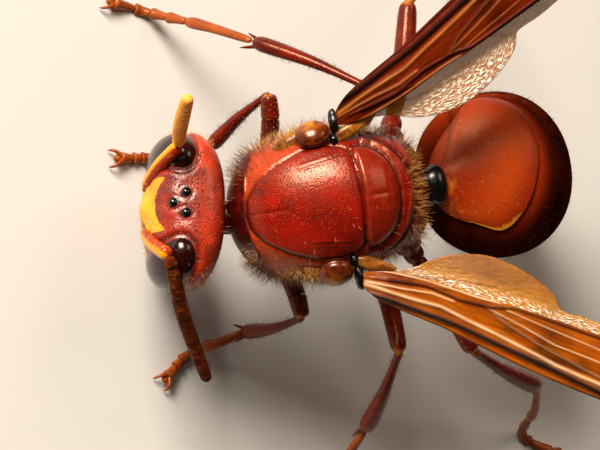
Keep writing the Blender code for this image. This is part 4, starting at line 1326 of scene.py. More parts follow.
@dataclass
class Antenna:
    """A feeler: the long scape, the bead of the pedicel and the ringed flagellum."""

    socket: Triple = (-1.42, 0.75, 0.35)
    bow: float = 0.14
    scape_radius: float = 0.25
    scape_profile: Table = ((0.0, 0.8), (0.05, 0.62), (0.12, 0.92), (0.35, 1.0), (0.7, 1.05),
                            (0.93, 1.08), (1.0, 0.75))
    flagellum_radius: float = 0.245
    rings: int = 10
    # Where the first ring starts and how long it is, as shares of the feeler.
    first_ring: tuple[float, float] = (0.065, 0.15)
    overlap: float = 1.1
    scape_ends: dict = field(default_factory=lambda: {
        Side.RIGHT: (-0.1, 1.98, 2.2), Side.LEFT: (-0.46, -2.0, 2.2)})
    whips: dict = field(default_factory=lambda: {
        Side.RIGHT: ((-0.1, 2.02, 2.3), (-0.12, 2.12, 2.62), (-0.08, 2.2, 3.4), (0.05, 2.32, 4.9),
                     (0.29, 2.58, 6.86)),
        Side.LEFT: ((-0.45, -2.06, 2.3), (-0.4, -2.28, 2.22), (-0.24, -2.85, 1.8),
                    (0.04, -3.92, 0.62), (0.84, -5.82, -1.5))})

    def scape(self, side: Side) -> Piece:
        """Models the first joint, bowed out round the eye, with its narrow neck and ball.

        Args:
            side: the side that it is on.

        Returns:
            The scape.
        """
        start = world_mm(HEAD_FRAME, mirrored(self.socket, side))
        end = world_mm(HEAD_FRAME, self.scape_ends[side])
        out = world_way(HEAD_FRAME, -1.0, 0.35 * side.value, 0.55).normalized()
        return limb(f"scape_{side.word}", bowed(start, end, out * self.bow),
                    scaled(self.scape_profile, self.scape_radius), out, depth=0.9, segments=32,
                    rings=56, crest=0.85)

    def whip(self, side: Side) -> Piece:
        """Models the pedicel and the flagellum's rings along one curve.

        Args:
            side: the side that they are on.

        Returns:
            The flagellum.
        """
        path = path_in(HEAD_FRAME, self.whips[side])
        out = world_way(HEAD_FRAME, -1.0, 0.0, 0.3).normalized()
        profile = scaled(((0, 0.6), (0.3, 0.82), (0.75, 1.0), (1, 0.8)), self.flagellum_radius)
        pieces = [limb("pedicel", path, profile, out, segments=24, rings=20, end=0.075)]
        # The first ring is the longest, the last one is rounded off.
        first, longest = self.first_ring
        rest = (1 - first - longest) / (self.rings - 1)
        for number in range(self.rings):
            start = first + longest + (number - 1) * rest if number else first
            length = rest if number else longest
            last = number == self.rings - 1
            swell = 0.86 + 0.24 * math.sin(math.pi * min(1.0, start * 0.85 + 0.15))
            ends = (0.85, 0.6, 0.3) if last else (1.0, 1.01, 0.98)
            rows = ((0, 0.97 if number else 0.7), (0.3, 0.99), *zip((0.75, 0.92, 1), ends))
            pieces.append(limb("ring", path, scaled(rows, self.flagellum_radius, swell), out,
                               segments=24, rings=18, start=start,
                               end=start + length * (1.0 if last else self.overlap)))
        return join(f"flagellum_{side.word}", pieces)

    def build(self) -> None:
        """Builds and dresses both feelers."""
        # The right feeler wears the down painted as in light, the left the down painted as in
        # shade.
        for side, finish in ((Side.RIGHT, FEELER_PAINTED_LIGHT), (Side.LEFT, FEELER_PAINTED_SHADE)):
            deliver(self.scape(side), SCAPE_ORANGE, "orange_cuticle", f"antenna_{side.word}_scape")
            deliver(self.whip(side), finish, "orange_cuticle", f"antenna_{side.word}_flagellum")


# Legs


@dataclass
class Leg:
    """One leg: coxa, trochanter, femur, tibia with its spurs, and the jointed foot.

    The joints are in the body frame, the two points of the foot on the floor, from the body's
    origin.
    """

    name: str
    root: Triple
    trochanter: Triple
    knee: Triple
    ankle: Triple
    foot: tuple[tuple[float, float], tuple[float, float]]
    radii: tuple[float, float, float, float]
    joint_shares: Sequence[float] = (0.0, 0.475, 0.62, 0.74, 0.84, 1.0)
    rest: float = 0.22
    bow: float = 0.12
    thigh_arch: float = 0.22
    foot_arch: float = 0.28
    spur_length: float = 0.62

    @property
    def outward(self) -> Vector:
        """Away from the body and a little up, which the joints bow to."""
        return Vector((0, math.copysign(1.0, self.knee[1]), 0.25)).normalized()

    def bone(self, start: Sequence[float], end: Sequence[float], bow: Vector) -> Path3:
        """The middle line between two joints."""
        return bowed(world_mm(BODY_FRAME, start), world_mm(BODY_FRAME, end), bow)

    def coxa(self) -> Piece:
        """The stout coxa and the small ring of the trochanter."""
        path = self.bone(self.root, self.trochanter, self.outward * self.bow)
        rows = ((0, 1.0), (0.4, 1.08), (0.8, 0.92), (1, 0.5))
        main = limb("coxa", path, scaled(rows, self.radii[0]), self.outward, depth=0.9,
                    segments=28, rings=36, end=0.84)
        rows = ((0, 0.5), (0.4, 0.68), (0.75, 0.66), (1, 0.5))
        ring = limb("trochanter", path, scaled(rows, self.radii[0]), self.outward, segments=24,
                    rings=24, start=0.74, end=1.12)
        return join(f"coxa_{self.name}", [main, ring])

    def femur(self) -> Surface:
        """The thigh's skin, slim where it leaves the trochanter and amber at the knee."""
        path = self.bone(self.trochanter, self.knee, Vector((0, 0, self.thigh_arch)))
        rows = ((0, 0.62), (0.06, 0.72), (0.3, 0.94), (0.6, 1.02), (0.85, 0.94), (0.95, 0.86),
                (1, 0.7))
        return limb_surface(path, scaled(rows, self.radii[1]), self.outward, depth=0.95,
                            start=-0.02, end=1.015, marks=lambda along: along)

    def shin_path(self) -> Path3:
        """The middle line from the knee to the ankle."""
        return self.bone(self.knee, self.ankle, self.outward * self.bow)

    def shin(self) -> Surface:
        """The shin's skin, widening to its end."""
        rows = ((0, 0.46), (0.05, 0.6), (0.12, 0.54), (0.3, 0.62), (0.6, 0.92), (0.85, 1.12),
                (0.96, 1.04), (1, 0.7))
        return limb_surface(self.shin_path(), scaled(rows, self.radii[2]), self.outward,
                            depth=0.85, start=-0.02, marks=lambda along: 1.02 - along)

    def tibia(self) -> Piece:
        """The shin with its two spurs."""
        pieces = [ball("shin", 28, 44, self.shin(), WORLD)]
        tip, direction = self.shin_path().at(0.95)
        r, below = self.radii[2], Vector((0, 0, -1))
        for turn in (-1, 1):
            sideways = direction.cross(below).normalized() * turn
            base = tip + sideways * r * 0.5 + below * r * 0.35
            way = (direction * 0.75 + below * 0.25 + sideways * 0.3).normalized()
            point = base + way * self.spur_length
            pieces.append(thorn("spur", base, point, ((0, 0.07), (0.6, 0.05), (1, 0.012)),
                                self.outward, segments=8, rings=10, floor=True))
        return join(f"tibia_{self.name}", pieces)

    def tarsus(self) -> Piece:
        """Five foot joints, the small pad and two hooked claws that stand on the floor."""
        ankle = world_mm(BODY_FRAME, self.ankle)
        origin = BODY_ORIGIN / MM
        touch, tip = (Vector((x + origin.x, y + origin.y, self.rest)) for x, y in self.foot)
        arch = Vector((0, 0, self.foot_arch))
        path = Path3([ankle, ankle.lerp(touch, 0.5) + arch, touch, tip])
        up = Vector((0, 0, 1))
        pieces = []
        for number, (start, end) in enumerate(zip(self.joint_shares, self.joint_shares[1:])):
            wide = 0.95 if number < 4 else 1.0
            rows = ((0, 0.45), (0.1, 0.62), (0.6, 0.8), (0.88, wide), (1, 0.7))
            pieces.append(limb("joint", path, scaled(rows, self.radii[3]), up, depth=0.85,
                               segments=20, rings=24, floor=True, start=start,
                               end=min(1.0, end + 0.006)))
        ahead = (tip - touch).normalized()
        pad = tip + ahead * 0.12
        pieces.append(limb("pad", Path3([tip - ahead * 0.1, pad, pad + ahead * 0.14]),
                           ((0, 0.12), (0.6, 0.15), (1, 0.08)), up, depth=0.7, segments=14,
                           rings=12, floor=True))
        for turn in (-1, 1):
            side = ahead.cross(up) * turn
            bends = ((-0.12, 0.0, 0.0), (0.12, 0.2, 0.1), (0.32, 0.3, 0.02), (0.43, 0.3, -0.16))
            hook = Path3([tip + ahead * a + side * b + up * c for a, b, c in bends])
            rows = ((0, 0.09), (0.4, 0.075), (0.8, 0.045), (1, 0.012))
            pieces.append(limb("claw", hook, rows, up, segments=10, rings=18, floor=True))
        return join(f"tarsus_{self.name}", pieces)

    def build(self) -> None:
        """Builds and dresses the leg."""
        deliver(self.coxa(), LEG_RED, "red_cuticle", f"leg_{self.name}_coxa")
        thigh = ball(f"femur_{self.name}", 28, 44, self.femur(), WORLD)
        deliver(thigh, LEG_RED, "red_cuticle", f"leg_{self.name}_femur")
        deliver(self.tibia(), LEG_RED, "red_cuticle", f"leg_{self.name}_tibia")
        deliver(self.tarsus(), LEG_AMBER, "orange_cuticle", f"leg_{self.name}_tarsus")


FORE = (0.5, 0.34, 0.3, 0.24)
MIDDLE = (0.52, 0.34, 0.3, 0.24)
HIND = (0.56, 0.38, 0.34, 0.24)
LEGS = (
    Leg("fore_right", (-2.3, 0.85, -1.6), (-2.0, 2.0, -3.0), (-1.5, 4.25, -2.3),
        (-3.95, 2.75, -3.9), ((-2.9, 2.75), (-4.2, 2.9)), FORE),
    Leg("fore_left", (-2.3, -0.85, -1.6), (-2.1, -1.9, -3.0), (-1.65, -3.95, -2.3),
        (-3.9, -4.15, -4.15), ((-2.7, -4.6), (-3.8, -5.3)), FORE),
    Leg("mid_right", (0.75, 1.1, -1.8), (1.1, 2.1, -3.7), (2.25, 3.7, -0.1),
        (-1.75, 6.24, -1.9), ((-2.0, 8.05), (-3.4, 8.6)), MIDDLE),
    Leg("mid_left", (0.75, -1.1, -1.8), (1.2, -2.3, -3.3), (1.6, -5.7, -1.0),
        (-0.1, -8.45, -4.0), ((1.5, -10.6), (0.6, -11.4)), MIDDLE),
    Leg("hind_right", (2.2, 1.0, -1.7), (2.75, 2.5, -3.1), (4.1, 6.75, -3.7),
        (6.3, 8.6, -7.7), ((11.1, 10.6), (12.3, 11.5)), HIND),
    Leg("hind_left", (2.2, -1.0, -1.7), (2.75, -2.4, -3.1), (4.3, -6.25, -3.8),
        (6.6, -8.1, -7.7), ((11.3, -10.0), (12.5, -10.9)), HIND),
)


# Wings


class Fold(NamedTuple):
    """A vein or a pleat: a line in the wing's plane, raised and toned along it."""

    line: Line
    height: float
    half_width: float
    dark: float = 0.0
    # pale: how strongly a painted highlight lies along the line.
    pale: float = 0.0


@dataclass
class Wing:
    """A thin closed membrane whose veins and pleats are ridges in its own surface.

    In the wing's frame s runs out from the root, t to the hind edge and z is dorsal.
    """

    name: str
    lead: Table
    trail: Table
    folds: Sequence[Fold]
    lift: float
    thin: float = 0.022
    columns: int = 132
    rows: int = 170
    camber: float = 0.1
    end_exponent: int = 40
    # How steeply the two faces part from the rim, by the share of the width.
    rim_slope: float = 30.0
    relief: float = 0.65
    wrinkle: float = 0.0
    # How far the painted silvery glints on the wrinkles reach over the lobe on each side: all over,
    # or near the forewing.
    painted_glitter_reach: dict = field(default_factory=lambda: {Side.RIGHT: 1.0, Side.LEFT: 0.0})
    roots: dict = field(default_factory=lambda: {
        Side.RIGHT: ((0.63, 2.77, 1.75), math.radians(29)),
        Side.LEFT: ((0.57, -2.79, 1.75), math.radians(-31.2))})
    raise_angle: float = math.radians(1.5)
    # Where the forewing's hind edge lies over the hindwing.
    cover: Line = ((1.2, 0.9), (2.4, 0.98), (4.1, 1.05), (6.4, 1.22), (8.3, 1.32), (11.0, 1.46))

    def place(self, side: Side) -> Matrix:
        """The wing's own frame, mirrored for the two sides."""
        root, angle = self.roots[side]
        turn = Matrix.Rotation(angle, 4, "Z") @ Matrix.Rotation(-self.raise_angle, 4, "Y")
        mirror = Matrix.Diagonal((1, -side.value, 1, 1))
        return BODY_FRAME @ Matrix.Translation(Vector(root) * MM) @ turn @ mirror

    def surface(self, turn: float, share: float, side: Side) -> Point:
        """Upper face for one half turn and lower face for the other.

        Args:
            turn: turn about the wing's long axis.
            share: share from root to tip.
            side: the side that the wing is on.

        Returns:
            The point, shaded by its veins.
        """
        low_s, high_s = self.lead[0][0], self.lead[-1][0]
        s = low_s + (high_s - low_s) * share
        close = pole_close(share, self.end_exponent)
        across = abs(turn) / math.pi
        front, hind = curve(self.lead, s), curve(self.trail, s)
        middle = (front + hind) / 2
        t = middle + (front + (hind - front) * across - middle) * close
        grown = step(-0.3, 1.4, s)
        height = self.lift + self.camber * (1 - (2 * across - 1) ** 2) * grown
        # dark marks the real veins; pale is painted highlight along the pleats, fading out near the
        # tip.
        dark, pale = 0.0, 0.0
        for fold in self.folds:
            away = bell(line_distance(fold.line, s, t), fold.half_width)
            height += self.relief * fold.height * away * grown
            dark = max(dark, fold.dark * away)
            pale = max(pale, fold.pale * away * away)
        pale *= step(12.8, 9.5, s)
        drift = noise.noise(Vector((s * 0.9, t * 2.5, 1.0)))
        streak = 0.5 + 0.5 * math.sin(t * 30 + drift * 7)
        warm = (0.3 + 0.3 * streak) * (0.7 + 1.2 * noise.noise(Vector((s * 0.5, t * 2.6, 7.0))))
        if self.wrinkle:
            grain = noise.noise(Vector((s * 2.6 + t * 3.0, (t - s * 0.28) * 13.0, 3.0)))
            height += self.wrinkle * grain * min(1.0, across * 3)
            seam = line_distance(self.cover, s, t)
            warm = max(step(4.2, 1.2, s) * step(2.2, 0.9, t), 0.9 * step(0.7, 0.1, seam))
            # Painted silvery glints on the hindwing's wrinkles: all over the right lobe, near the
            # forewing's edge on the left.
            painted_glitter_reach = self.painted_glitter_reach[side]
            pale = max(pale, (1 - painted_glitter_reach) * bell(seam, 0.22),
                       painted_glitter_reach * step(0.4, 1.4, s) * step(0.05, 0.5, seam))
        else:
            height += 0.004 * streak
        thickness = self.thin + 0.045 * dark
        if turn < 0:
            thickness = -thickness
        edge = min(1.0, min(across, 1 - across) * self.rim_slope)
        return Point(Vector((s, t, height + thickness * edge)), dark, pale, max(0.0, warm))

    def build(self, finishes: dict, slot: str) -> None:
        """Builds and dresses both wings of the pair.

        Args:
            finishes: the finish of each side's wing.
            slot: the record's material slot that both belong to.
        """
        for side in Side:
            wing = ball(f"membrane_{self.name}_{side.word}", self.columns, self.rows,
                        partial(self.surface, side=side), self.place(side))
            deliver(wing, finishes[side], slot, f"{self.name}_{side.word}")


FOREWING = Wing(
    "forewing",
    lead=((-0.1, -0.1), (0.2, -0.26), (0.5, -0.38), (1.0, -0.5), (2.0, -0.56), (3.5, -0.59),
          (5.2, -0.74), (6.5, -0.85), (9.0, -0.92), (12.5, -0.84), (14.5, -0.62), (16.0, -0.24),
          (17.0, 0.2), (17.4, 0.5)),
    trail=((-0.1, 0.16), (0.2, 0.32), (0.5, 0.44), (1.2, 0.64), (2.4, 0.84), (4.1, 0.92),
           (5.1, 1.02), (6.4, 1.1), (8.3, 1.2), (11.0, 1.34), (13.2, 1.42), (15.0, 1.34),
           (16.3, 1.1), (17.1, 0.85), (17.4, 0.65)),
    folds=(
        Fold(((0.4, -0.45), (1.4, -0.36), (3.8, -0.3), (5.1, -0.38), (7.6, -0.53), (9.4, -0.66),
              (12.5, -0.6), (15.5, -0.2)), 0.1, 0.1, dark=1.0),
        Fold(((0.3, -0.4), (1.0, -0.54), (3.5, -0.56), (6.5, -0.8), (9.0, -0.88), (14.0, -0.68)),
             0.05, 0.05, dark=0.35),
        Fold(((0.3, -0.15), (1.9, -0.05), (3.1, 0.08), (4.4, -0.04), (5.6, -0.14), (7.6, -0.35),
              (10.0, -0.45), (14.0, -0.3)), 0.12, 0.085, pale=0.9),
        Fold(((0.25, -0.06), (1.7, 0.2), (2.6, 0.41), (3.4, 0.42)), 0.09, 0.055, pale=0.8),
        Fold(((1.0, 0.3), (2.3, 0.6), (3.6, 0.56), (4.5, 0.69), (4.7, 0.7)), 0.07, 0.05, dark=0.8),
        Fold(((4.7, 0.7), (5.45, 0.97), (6.4, 1.03), (8.6, 1.12), (12.0, 1.26)), 0.06, 0.045,
             dark=0.8),
        Fold(((4.67, 0.66), (5.28, 0.4), (6.77, 0.1), (9.16, -0.2), (12.0, -0.25)), 0.07, 0.05,
             dark=0.45, pale=0.3),
        Fold(((4.85, 0.62), (6.0, 0.5), (7.3, 0.3), (9.0, 0.3), (13.0, 0.4)), 0.06, 0.04, pale=0.7),
        Fold(((5.3, 0.82), (6.5, 0.78), (8.9, 0.72), (13.0, 0.85)), 0.05, 0.035, pale=0.6),
        Fold(((0.3, 0.45), (1.2, 0.62), (2.4, 0.78), (4.2, 0.88), (5.0, 0.97)), 0.07, 0.05,
             pale=0.9),
        Fold(((0.5, 0.15), (1.6, 0.42), (3.0, 0.72)), 0.05, 0.04, dark=0.5),
    ),
    lift=0.0)
HINDWING = Wing(
    "hindwing",
    lead=((0.5, 0.1), (1.5, -0.2), (4.0, -0.3), (8.0, -0.35), (11.0, -0.2), (12.6, 0.25),
          (13.0, 0.5)),
    trail=((0.5, 0.4), (1.6, 0.98), (2.38, 1.7), (3.2, 2.15), (4.1, 2.4), (5.3, 2.36), (6.3, 2.12),
           (6.8, 1.85), (7.0, 1.6), (7.25, 1.54), (7.9, 1.6), (8.5, 1.6), (10.2, 1.5), (11.6, 1.22),
           (12.6, 0.85), (13.0, 0.65)),
    folds=(
        Fold(((0.6, 0.25), (1.6, 0.7), (3.0, 1.15), (4.6, 1.5)), 0.03, 0.05, dark=0.3),
        Fold(((0.8, 0.1), (4.0, 0.15), (8.0, 0.25), (12.0, 0.4)), 0.06, 0.06, dark=0.7),
        Fold(((6.2, 1.0), (6.75, 1.45), (7.0, 1.6)), 0.02, 0.05, dark=0.25),
    ),
    lift=-0.56, thin=0.018, camber=0.0, wrinkle=0.02)


@dataclass
class WingBase:
    """The tegula over each wing's root and the black hinge plates beside it."""

    centre: Triple = (-0.2, 2.48, 1.86)
    radii: Triple = (0.63, 0.56, 0.36)
    tilt: float = math.radians(38)
    lobe: Triple = (-1.0, 2.32, 1.25)
    lobe_radii: Triple = (0.8, 0.36, 0.36)
    lobe_turn: float = math.radians(22)
    # The hinge plates' middles and radii.
    plates: Sequence[Table] = (((0.6, 2.78, 1.62), (0.18, 0.48, 0.26)),
                               ((0.5, 2.15, 1.72), (0.16, 0.26, 0.22)),
                               ((0.78, 2.3, 1.45), (0.24, 0.3, 0.25)))
    cord: Sequence[Triple] = ((0.55, 2.15, 1.7), (1.05, 2.38, 1.66), (1.5, 2.56, 1.58),
                              (1.95, 2.74, 1.5))
    cord_profile: Table = ((0, 0.14), (0.3, 0.24), (0.7, 0.17), (1, 0.06))

    def scale_surface(self, side: Side) -> Surface:
        """The domed tegula, with a thin rim and a low crease before its hind edge."""

        def surface(turn: float, share: float) -> Point:
            """An ellipsoid, pressed in a little inside its rim."""
            ring = math.sin(math.pi * share)
            out = sphere_way(turn, share)
            local = stretched(out, self.radii)
            local.z -= 0.03 * bell(ring - 0.9, 0.05) if out.z > 0 else 0.0
            turned = Matrix.Rotation(-side.value * self.tilt, 3, "X") @ local
            # Painted glow towards the scale's outer side, as if light shone through it, and painted
            # shade in the crease inside its rim.
            glow = bell(math.hypot(out.x + 0.1, out.y - 0.5 * side.value), 0.55)
            glow *= max(0.0, 0.7 + 1.6 * noise.noise(out * 2.6))
            return Point(mirrored(self.centre, side) + turned, 0.4 * bell(ring - 0.9, 0.06),
                         bell(ring - 1.0, 0.025) - 0.7, glow)

        return surface

    def sclerites(self, side: Side) -> Piece:
        """Polished plates that the wing turns on."""
        pieces = []
        for centre, radii in self.plates:
            def surface(turn: float, share: float, middle: Vector = Vector(centre),
                        size: Sequence[float] = radii) -> Point:
                """A small uneven pebble."""
                out = sphere_way(turn, share)
                bump = 1 + 0.14 * noise.noise(out * 1.7 + middle)
                return Point(mirrored(middle + stretched(out, size, bump), side))
            pieces.append(ball("sclerite", 28, 20, surface, BODY_FRAME))
        return join(f"wing_hinge_{side.word}", pieces)

    def lobe_surface(self, side: Side) -> Surface:
        """The swollen pronotal lobe before the tegula, which carries pale hair."""

        def surface(turn: float, share: float) -> Point:
            """A long low swelling."""
            local = stretched(sphere_way(turn, share), self.lobe_radii)
            local = Matrix.Rotation(side.value * self.lobe_turn, 3, "Z") @ local
            return Point(mirrored(self.lobe, side) + local)

        return surface

    def build(self) -> None:
        """Builds and dresses both wing bases."""
        for side in Side:
            lobe = ball(f"pronotal_lobe_{side.word}", 36, 28, self.lobe_surface(side), BODY_FRAME)
            deliver(lobe, PALE_LOBE, "orange_cuticle")
            scale = ball(f"wing_scale_{side.word}", 56, 44, self.scale_surface(side), BODY_FRAME)
            deliver(scale, AMBER_SCALE, "orange_cuticle", f"tegula_{side.word}")
            deliver(self.sclerites(side), BLACK_HINGE, "dark_cuticle")
            cord = limb(f"wing_cord_{side.word}", path_in(BODY_FRAME, self.cord, side),
                        self.cord_profile, BODY_UP, depth=0.5)
            deliver(cord, PALE_LOBE, "orange_cuticle")


# Hair


@dataclass
class HairCoat:
    """Fine standing hairs on a skin, as thin solid spikes.

    The density says how likely a hair is to stand at a point. The length and the thickness are
    in millimetres. The hairs lean towards lie by the share lean.
    """

    name: str
    surface: Surface
    place: Matrix
    density: Callable[[Vector], float]
    count: int
    length: float
    thickness: float
    lie: Sequence[float]
    lean: float
    finish: Bristle
    seed: int
    slot: str = "orange_cuticle"
    tries_per_hair: int = 14
    # How near the sphere's poles a hair may stand, as the height on the unit sphere.
    pole_limit: float = 0.985
    wildness: float = 0.3
    root_depth: float = 0.03

    def roots(self, spread: random.Random) -> list[tuple[Vector, Vector, float, float]]:
        """Picks root points by the density.

        Args:
            spread: the coat's own random numbers.

        Returns:
            Each root's point, its normal, its turn and its share.
        """
        found = []
        way = self.outward_way()
        for _ in range(self.count * self.tries_per_hair):
            if len(found) >= self.count:
                break
            turn = spread.uniform(-math.pi, math.pi)
            share = math.acos(spread.uniform(-self.pole_limit, self.pole_limit)) / math.pi
            point = self.surface(turn, share).place
            if spread.random() > self.density(point):
                continue
            normal = self.slope(turn, share) * way
            if normal.length >= 1e-9:
                found.append((point, normal.normalized(), turn, share))
        return found

    def slope(self, turn: float, share: float) -> Vector:
        """The surface's normal at a place, not yet known to point outwards."""
        point = self.surface(turn, share).place
        near = self.surface(turn + 0.01, share).place - point
        along = self.surface(turn, share + 0.004).place - point
        return along.cross(near)

    def outward_way(self) -> float:
        """1 or -1, which turns the normals outwards: what most of them say."""
        turns = [-2.8 + 0.7 * k for k in range(9)]
        votes = 0.0
        for share in (0.3, 0.4, 0.5, 0.6, 0.7):
            ring = [self.surface(turn, share).place for turn in turns]
            centre = sum(ring, Vector()) / len(ring)
            for turn, point in zip(turns, ring):
                votes += math.copysign(1.0, self.slope(turn, share).dot(point - centre))
        return math.copysign(1.0, votes)

    def spike(self, spread: random.Random, point: Vector, normal: Vector) -> list[Vector]:
        """Shapes one hair.

        Args:
            spread: the coat's own random numbers.
            point: the root.
            normal: the skin's.

        Returns:
            Seven points: a triangle at the root, one half way up, and the tip.
        """
        wild = Vector([spread.uniform(-1, 1) for _ in range(3)]) * self.wildness
        rise = (normal + wild).normalized()
        lie = Vector(self.lie)
        tip_way = (rise * (1 - self.lean) + lie * self.lean + wild * 0.5).normalized()
        length = self.length * spread.uniform(0.55, 1.15)
        side = rise.orthogonal().normalized()
        other = rise.cross(side)
        start = point - normal * self.root_depth
        middle = start + rise * length * 0.5
        corners = []
        for centre, radius in ((start, self.thickness), (middle, self.thickness * 0.7)):
            for k in range(3):
                angle = 2 * math.pi * k / 3
                offset = side * math.cos(angle) + other * math.sin(angle)
                corners.append(centre + offset * radius)
        return [*corners, middle + tip_way * length * 0.5]

    def build(self) -> None:
        """Builds and dresses the coat as one mesh of closed spikes."""
        spread = random.Random(self.seed)
        roots = self.roots(spread)
        verts, faces = [], []
        for point, normal, _, _ in roots:
            a, b, c, d, e, f, tip = range(len(verts), len(verts) + 7)
            verts += [self.place @ (corner * MM) for corner in self.spike(spread, point, normal)]
            faces += [(c, b, a), (a, b, e, d), (d, e, tip), (b, c, f, e), (e, f, tip), (c, a, d, f),
                      (f, d, tip)]
        mesh = bpy.data.meshes.new(self.name)
        mesh.from_pydata(verts, [], faces)
        # Each hair's unwrap is a small patch where its root lies on the skin's.
        patch = ((0, 0), (1, 0), (0, 1), (0.2, 0.2), (1, 0.2), (0.2, 1), (1, 1))
        layer = mesh.uv_layers.new(name="OFBake")
        for loop in mesh.loops:
            _, _, turn, share = roots[loop.vertex_index // 7]
            du, dv = patch[loop.vertex_index % 7]
            u = (turn + math.pi) / (2 * math.pi)
            layer.data[loop.index].uv = (u * 0.99 + du * 0.003, share * 0.99 + dv * 0.003)
        coat = bpy.data.objects.new(self.name, mesh)
        bpy.context.scene.collection.objects.link(coat)
        write_values(coat, "mark", [0.0, 0.0, 0.0, 0.5, 0.5, 0.5, 1.0] * len(roots))
        deliver(coat, self.finish, self.slot)


def gold_density(point: Vector) -> float:
    """Where golden hairs stand on the thorax: a fringe round its rear, the flanks and below.

    Args:
        point: a point of the skin.

    Returns:
        How likely a hair is to stand there.
    """
    x, y, z = point
    rear = bell(x - 3.15, 0.3) * step(-0.8, 0.1, z)
    flank = 0.55 * step(1.95, 2.25, abs(y)) * step(2.0, 1.3, z)
    collar = 0.25 * step(-2.6, -2.9, x) * step(0.9, 1.5, abs(y))
    below = 0.35 * step(-0.4, -1.0, z)
    return min(1.0, max(rear, flank, collar, below, 0.008))


def brown_density(point: Vector) -> float:
    """Where dark hairs stand on the thorax: the collar's shoulders and the flanks.

    Args:
        point: a point of the skin.

    Returns:
        How likely a hair is to stand there.
    """
    x, y, z = point
    flank = 0.3 * step(1.9, 2.2, abs(y)) * step(2.1, 1.4, z)
    collar = 0.8 * step(-2.2, -2.8, x) * step(1.2, 1.7, abs(y))
    rear = 0.3 * bell(x - 2.9, 0.35) * step(0.9, 1.4, abs(y))
    return min(1.0, max(flank, collar, rear, 0.012))


def head_density(point: Vector) -> float:
    """Where hairs stand on the head: few on the vertex, more behind the eyes and below.

    Args:
        point: a point of the capsule.

    Returns:
        How likely a hair is to stand there.
    """
    x, y, z = point
    if x < -0.9 and abs(y) < 1.1:
        return 0.12
    return 0.06 + 0.6 * step(0.6, -0.6, z) + 0.5 * step(2.25, 2.65, abs(y))


def even_density(_: Vector) -> float:
    """The same all over."""
    return 1.0


def dress_with_hair(head: Head, thorax: Thorax, gaster: Gaster, base: WingBase) -> None:
    """Sets the coats of fine hair on the finished skins.

    Args:
        head: the head, whose capsule carries short hairs.
        thorax: the thorax with its golden fringes.
        gaster: the gaster, which is thinly haired.
        base: the wing bases, whose lobes are pale and downy.
    """
    HairCoat("hair_thorax_gold", thorax.surface, BODY_FRAME, gold_density, count=4200,
             length=0.36, thickness=0.0062, lie=(0.35, 0, 0.25), lean=0.35, finish=GOLD_HAIR,
             seed=3).build()
    HairCoat("hair_thorax_brown", thorax.surface, BODY_FRAME, brown_density, count=2600,
             length=0.6, thickness=0.0052, lie=(-0.2, 0, 0.3), lean=0.3, finish=DARK_HAIR,
             seed=5, slot="dark_cuticle").build()
    HairCoat("hair_head", head.surface, HEAD_FRAME, head_density, count=2000, length=0.28,
             thickness=0.006, lie=(-0.2, 0, -0.3), lean=0.35, finish=GOLD_HAIR, seed=7).build()
    for number, count in enumerate((240, 900, 500, 400, 300, 160), 1):
        HairCoat(f"hair_gaster_{number}", gaster.plate(number), BODY_FRAME, even_density, count,
                 length=0.22, thickness=0.0045, lie=(0.3, 0, -0.8), lean=0.5,
                 finish=DARK_HAIR if number > 1 else GOLD_HAIR, seed=20 + number,
                 slot="dark_cuticle").build()
    for side in Side:
        HairCoat(f"hair_lobe_{side.word}", base.lobe_surface(side), BODY_FRAME, even_density,
                 count=500, length=0.26, thickness=0.006, lie=(0.3, 0.5 * side.value, 0.3),
                 lean=0.4, finish=PALE_HAIR, seed=11).build()
    down = (0, 0, -0.6)
    for number, leg in enumerate(LEGS):
        HairCoat(f"hair_femur_{leg.name}", leg.femur(), WORLD, even_density, count=220,
                 length=0.2, thickness=0.0055, lie=down, lean=0.4, finish=GOLD_HAIR,
                 seed=40 + number).build()
        HairCoat(f"hair_tibia_{leg.name}", leg.shin(), WORLD, even_density, count=260,
                 length=0.22, thickness=0.006, lie=down, lean=0.5, finish=DARK_HAIR,
                 seed=60 + number, slot="dark_cuticle").build()


# Floor, lights and camera


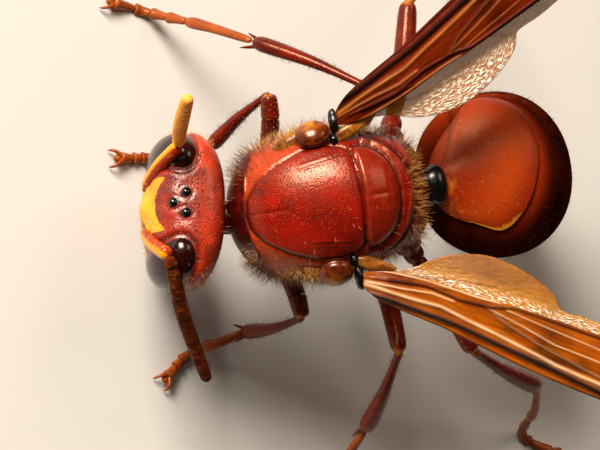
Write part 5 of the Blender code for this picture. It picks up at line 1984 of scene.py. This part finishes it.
@dataclass
class Studio:
    """A pale floor, soft lights and the camera at the photograph's viewing angle."""

    photo_size: tuple[float, float] = (600.0, 450.0)
    thorax_pixel: tuple[float, float] = (330.0, 202.0)
    pixels_per_mm: float = 28.4
    axis_tilt: float = math.radians(9.7)
    distance: float = 162.7
    back_height: float = 2.7
    sensor: float = 36.0
    light_distance: float = 220.0

    def camera(self) -> None:
        """Looks down on the thorax's back, turned so that the body axis lies as in the photo."""
        data = bpy.data.cameras.new("camera")
        data.sensor_width = self.sensor
        frame_width = self.photo_size[0] / self.pixels_per_mm
        data.lens = self.sensor * (self.distance - self.back_height) / frame_width
        data.clip_start, data.clip_end = 0.01, 10.0
        camera = bpy.data.objects.new("camera", data)
        bpy.context.scene.collection.objects.link(camera)
        right, down = ((size / 2 - pixel) / self.pixels_per_mm
                       for size, pixel in zip(self.photo_size, self.thorax_pixel))
        c, s = math.cos(self.axis_tilt), math.sin(self.axis_tilt)
        aim = Vector((right * c - down * s, -right * s - down * c, self.distance))
        turn = Matrix.Rotation(-self.axis_tilt, 4, "Z")
        camera.matrix_world = BODY_FRAME @ Matrix.Translation(aim * MM) @ turn
        bpy.context.scene.camera = camera

    def light(self, name: str, toward: Sequence[float], size: float, watts: float, colour: str,
              stretch: float = 1.0) -> None:
        """Adds one softbox that looks at the thorax.

        Args:
            name: the light's name.
            toward: direction to it in the body frame.
            size: edge length in millimetres.
            watts: power.
            colour: sRGB hex colour.
            stretch: height of the box as a share of its width.
        """
        data = bpy.data.lights.new(name, "AREA")
        data.shape = "RECTANGLE"
        data.size = size * MM
        data.size_y = size * stretch * MM
        data.energy = watts
        data.color = linear(colour)[:3]
        lamp = bpy.data.objects.new(name, data)
        direction = world_way(BODY_FRAME, *toward).normalized()
        across = world_way(BODY_FRAME, 1, 0, 0).cross(direction).normalized()
        basis = Matrix((across.cross(direction), across, direction)).transposed()
        place = BODY_ORIGIN + direction * self.light_distance * MM
        lamp.matrix_world = Matrix.Translation(place) @ basis.to_4x4()
        bpy.context.scene.collection.objects.link(lamp)

    def floor(self) -> None:
        """A wide matt floor that the feet stand on."""
        deselect()
        bpy.ops.mesh.primitive_plane_add(size=0.9, location=(0, 0, 0))
        plane = bpy.context.object
        plane.name = "floor"
        paint, _ = blank("paint_matt_pale")
        plane.data.materials.append(
            shaded(paint, {"Base Color": linear("#cfccc6"), "Roughness": 0.85}))

    def build(self) -> None:
        """Sets up the whole studio."""
        self.camera()
        self.light("key", (-0.15, 1.0, 0.98), size=100, watts=1.18, colour="#fff4e8")
        self.light("panel", (-0.15, 0.55, 1.0), size=200, watts=0.06, colour="#ffeedd",
                   stretch=0.9)
        self.light("fill", (-0.6, -1.0, 0.6), size=140, watts=0.01, colour="#ffe0c0")
        self.light("rim", (1.0, 0.5, 0.7), size=90, watts=0.1, colour="#ffe8d0")
        bpy.context.scene.view_settings.view_transform = "Standard"
        self.floor()
        world = bpy.data.worlds.new("studio")
        world.use_nodes = True
        ground = world.node_tree.nodes["Background"]
        ground.inputs[0].default_value = linear("#e8dfd2")
        ground.inputs[1].default_value = 0.06
        bpy.context.scene.world = world


def write_sizes() -> None:
    """Updates the view layer."""
    def plain(box: object) -> list[list[float]]:
        """A box as plain lists."""
        return [[float(v) for v in corner] for corner in box]
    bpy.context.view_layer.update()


def main() -> None:
    """Builds the sub-assemblies in order."""
    logging.basicConfig(level=logging.INFO, format="%(message)s")
    Studio().build()
    head = Head()
    head.build()
    Jaws().build()
    thorax = Thorax()
    thorax.build()
    Antenna().build()
    base = WingBase()
    base.build()
    # The right forewing wears the film painted as in shade, the left the film painted as in light.
    FOREWING.build({Side.RIGHT: PAINTED_SHADE_FILM, Side.LEFT: PAINTED_LIGHT_FILM}, "wing_amber")
    HINDWING.build({Side.RIGHT: CLEAR_FILM, Side.LEFT: CLEAR_FILM}, "wing_pale")
    gaster = Gaster()
    gaster.build()
    for leg in LEGS:
        leg.build()
    dress_with_hair(head, thorax, gaster, base)
    write_sizes()


if __name__ == "__main__":
    main()
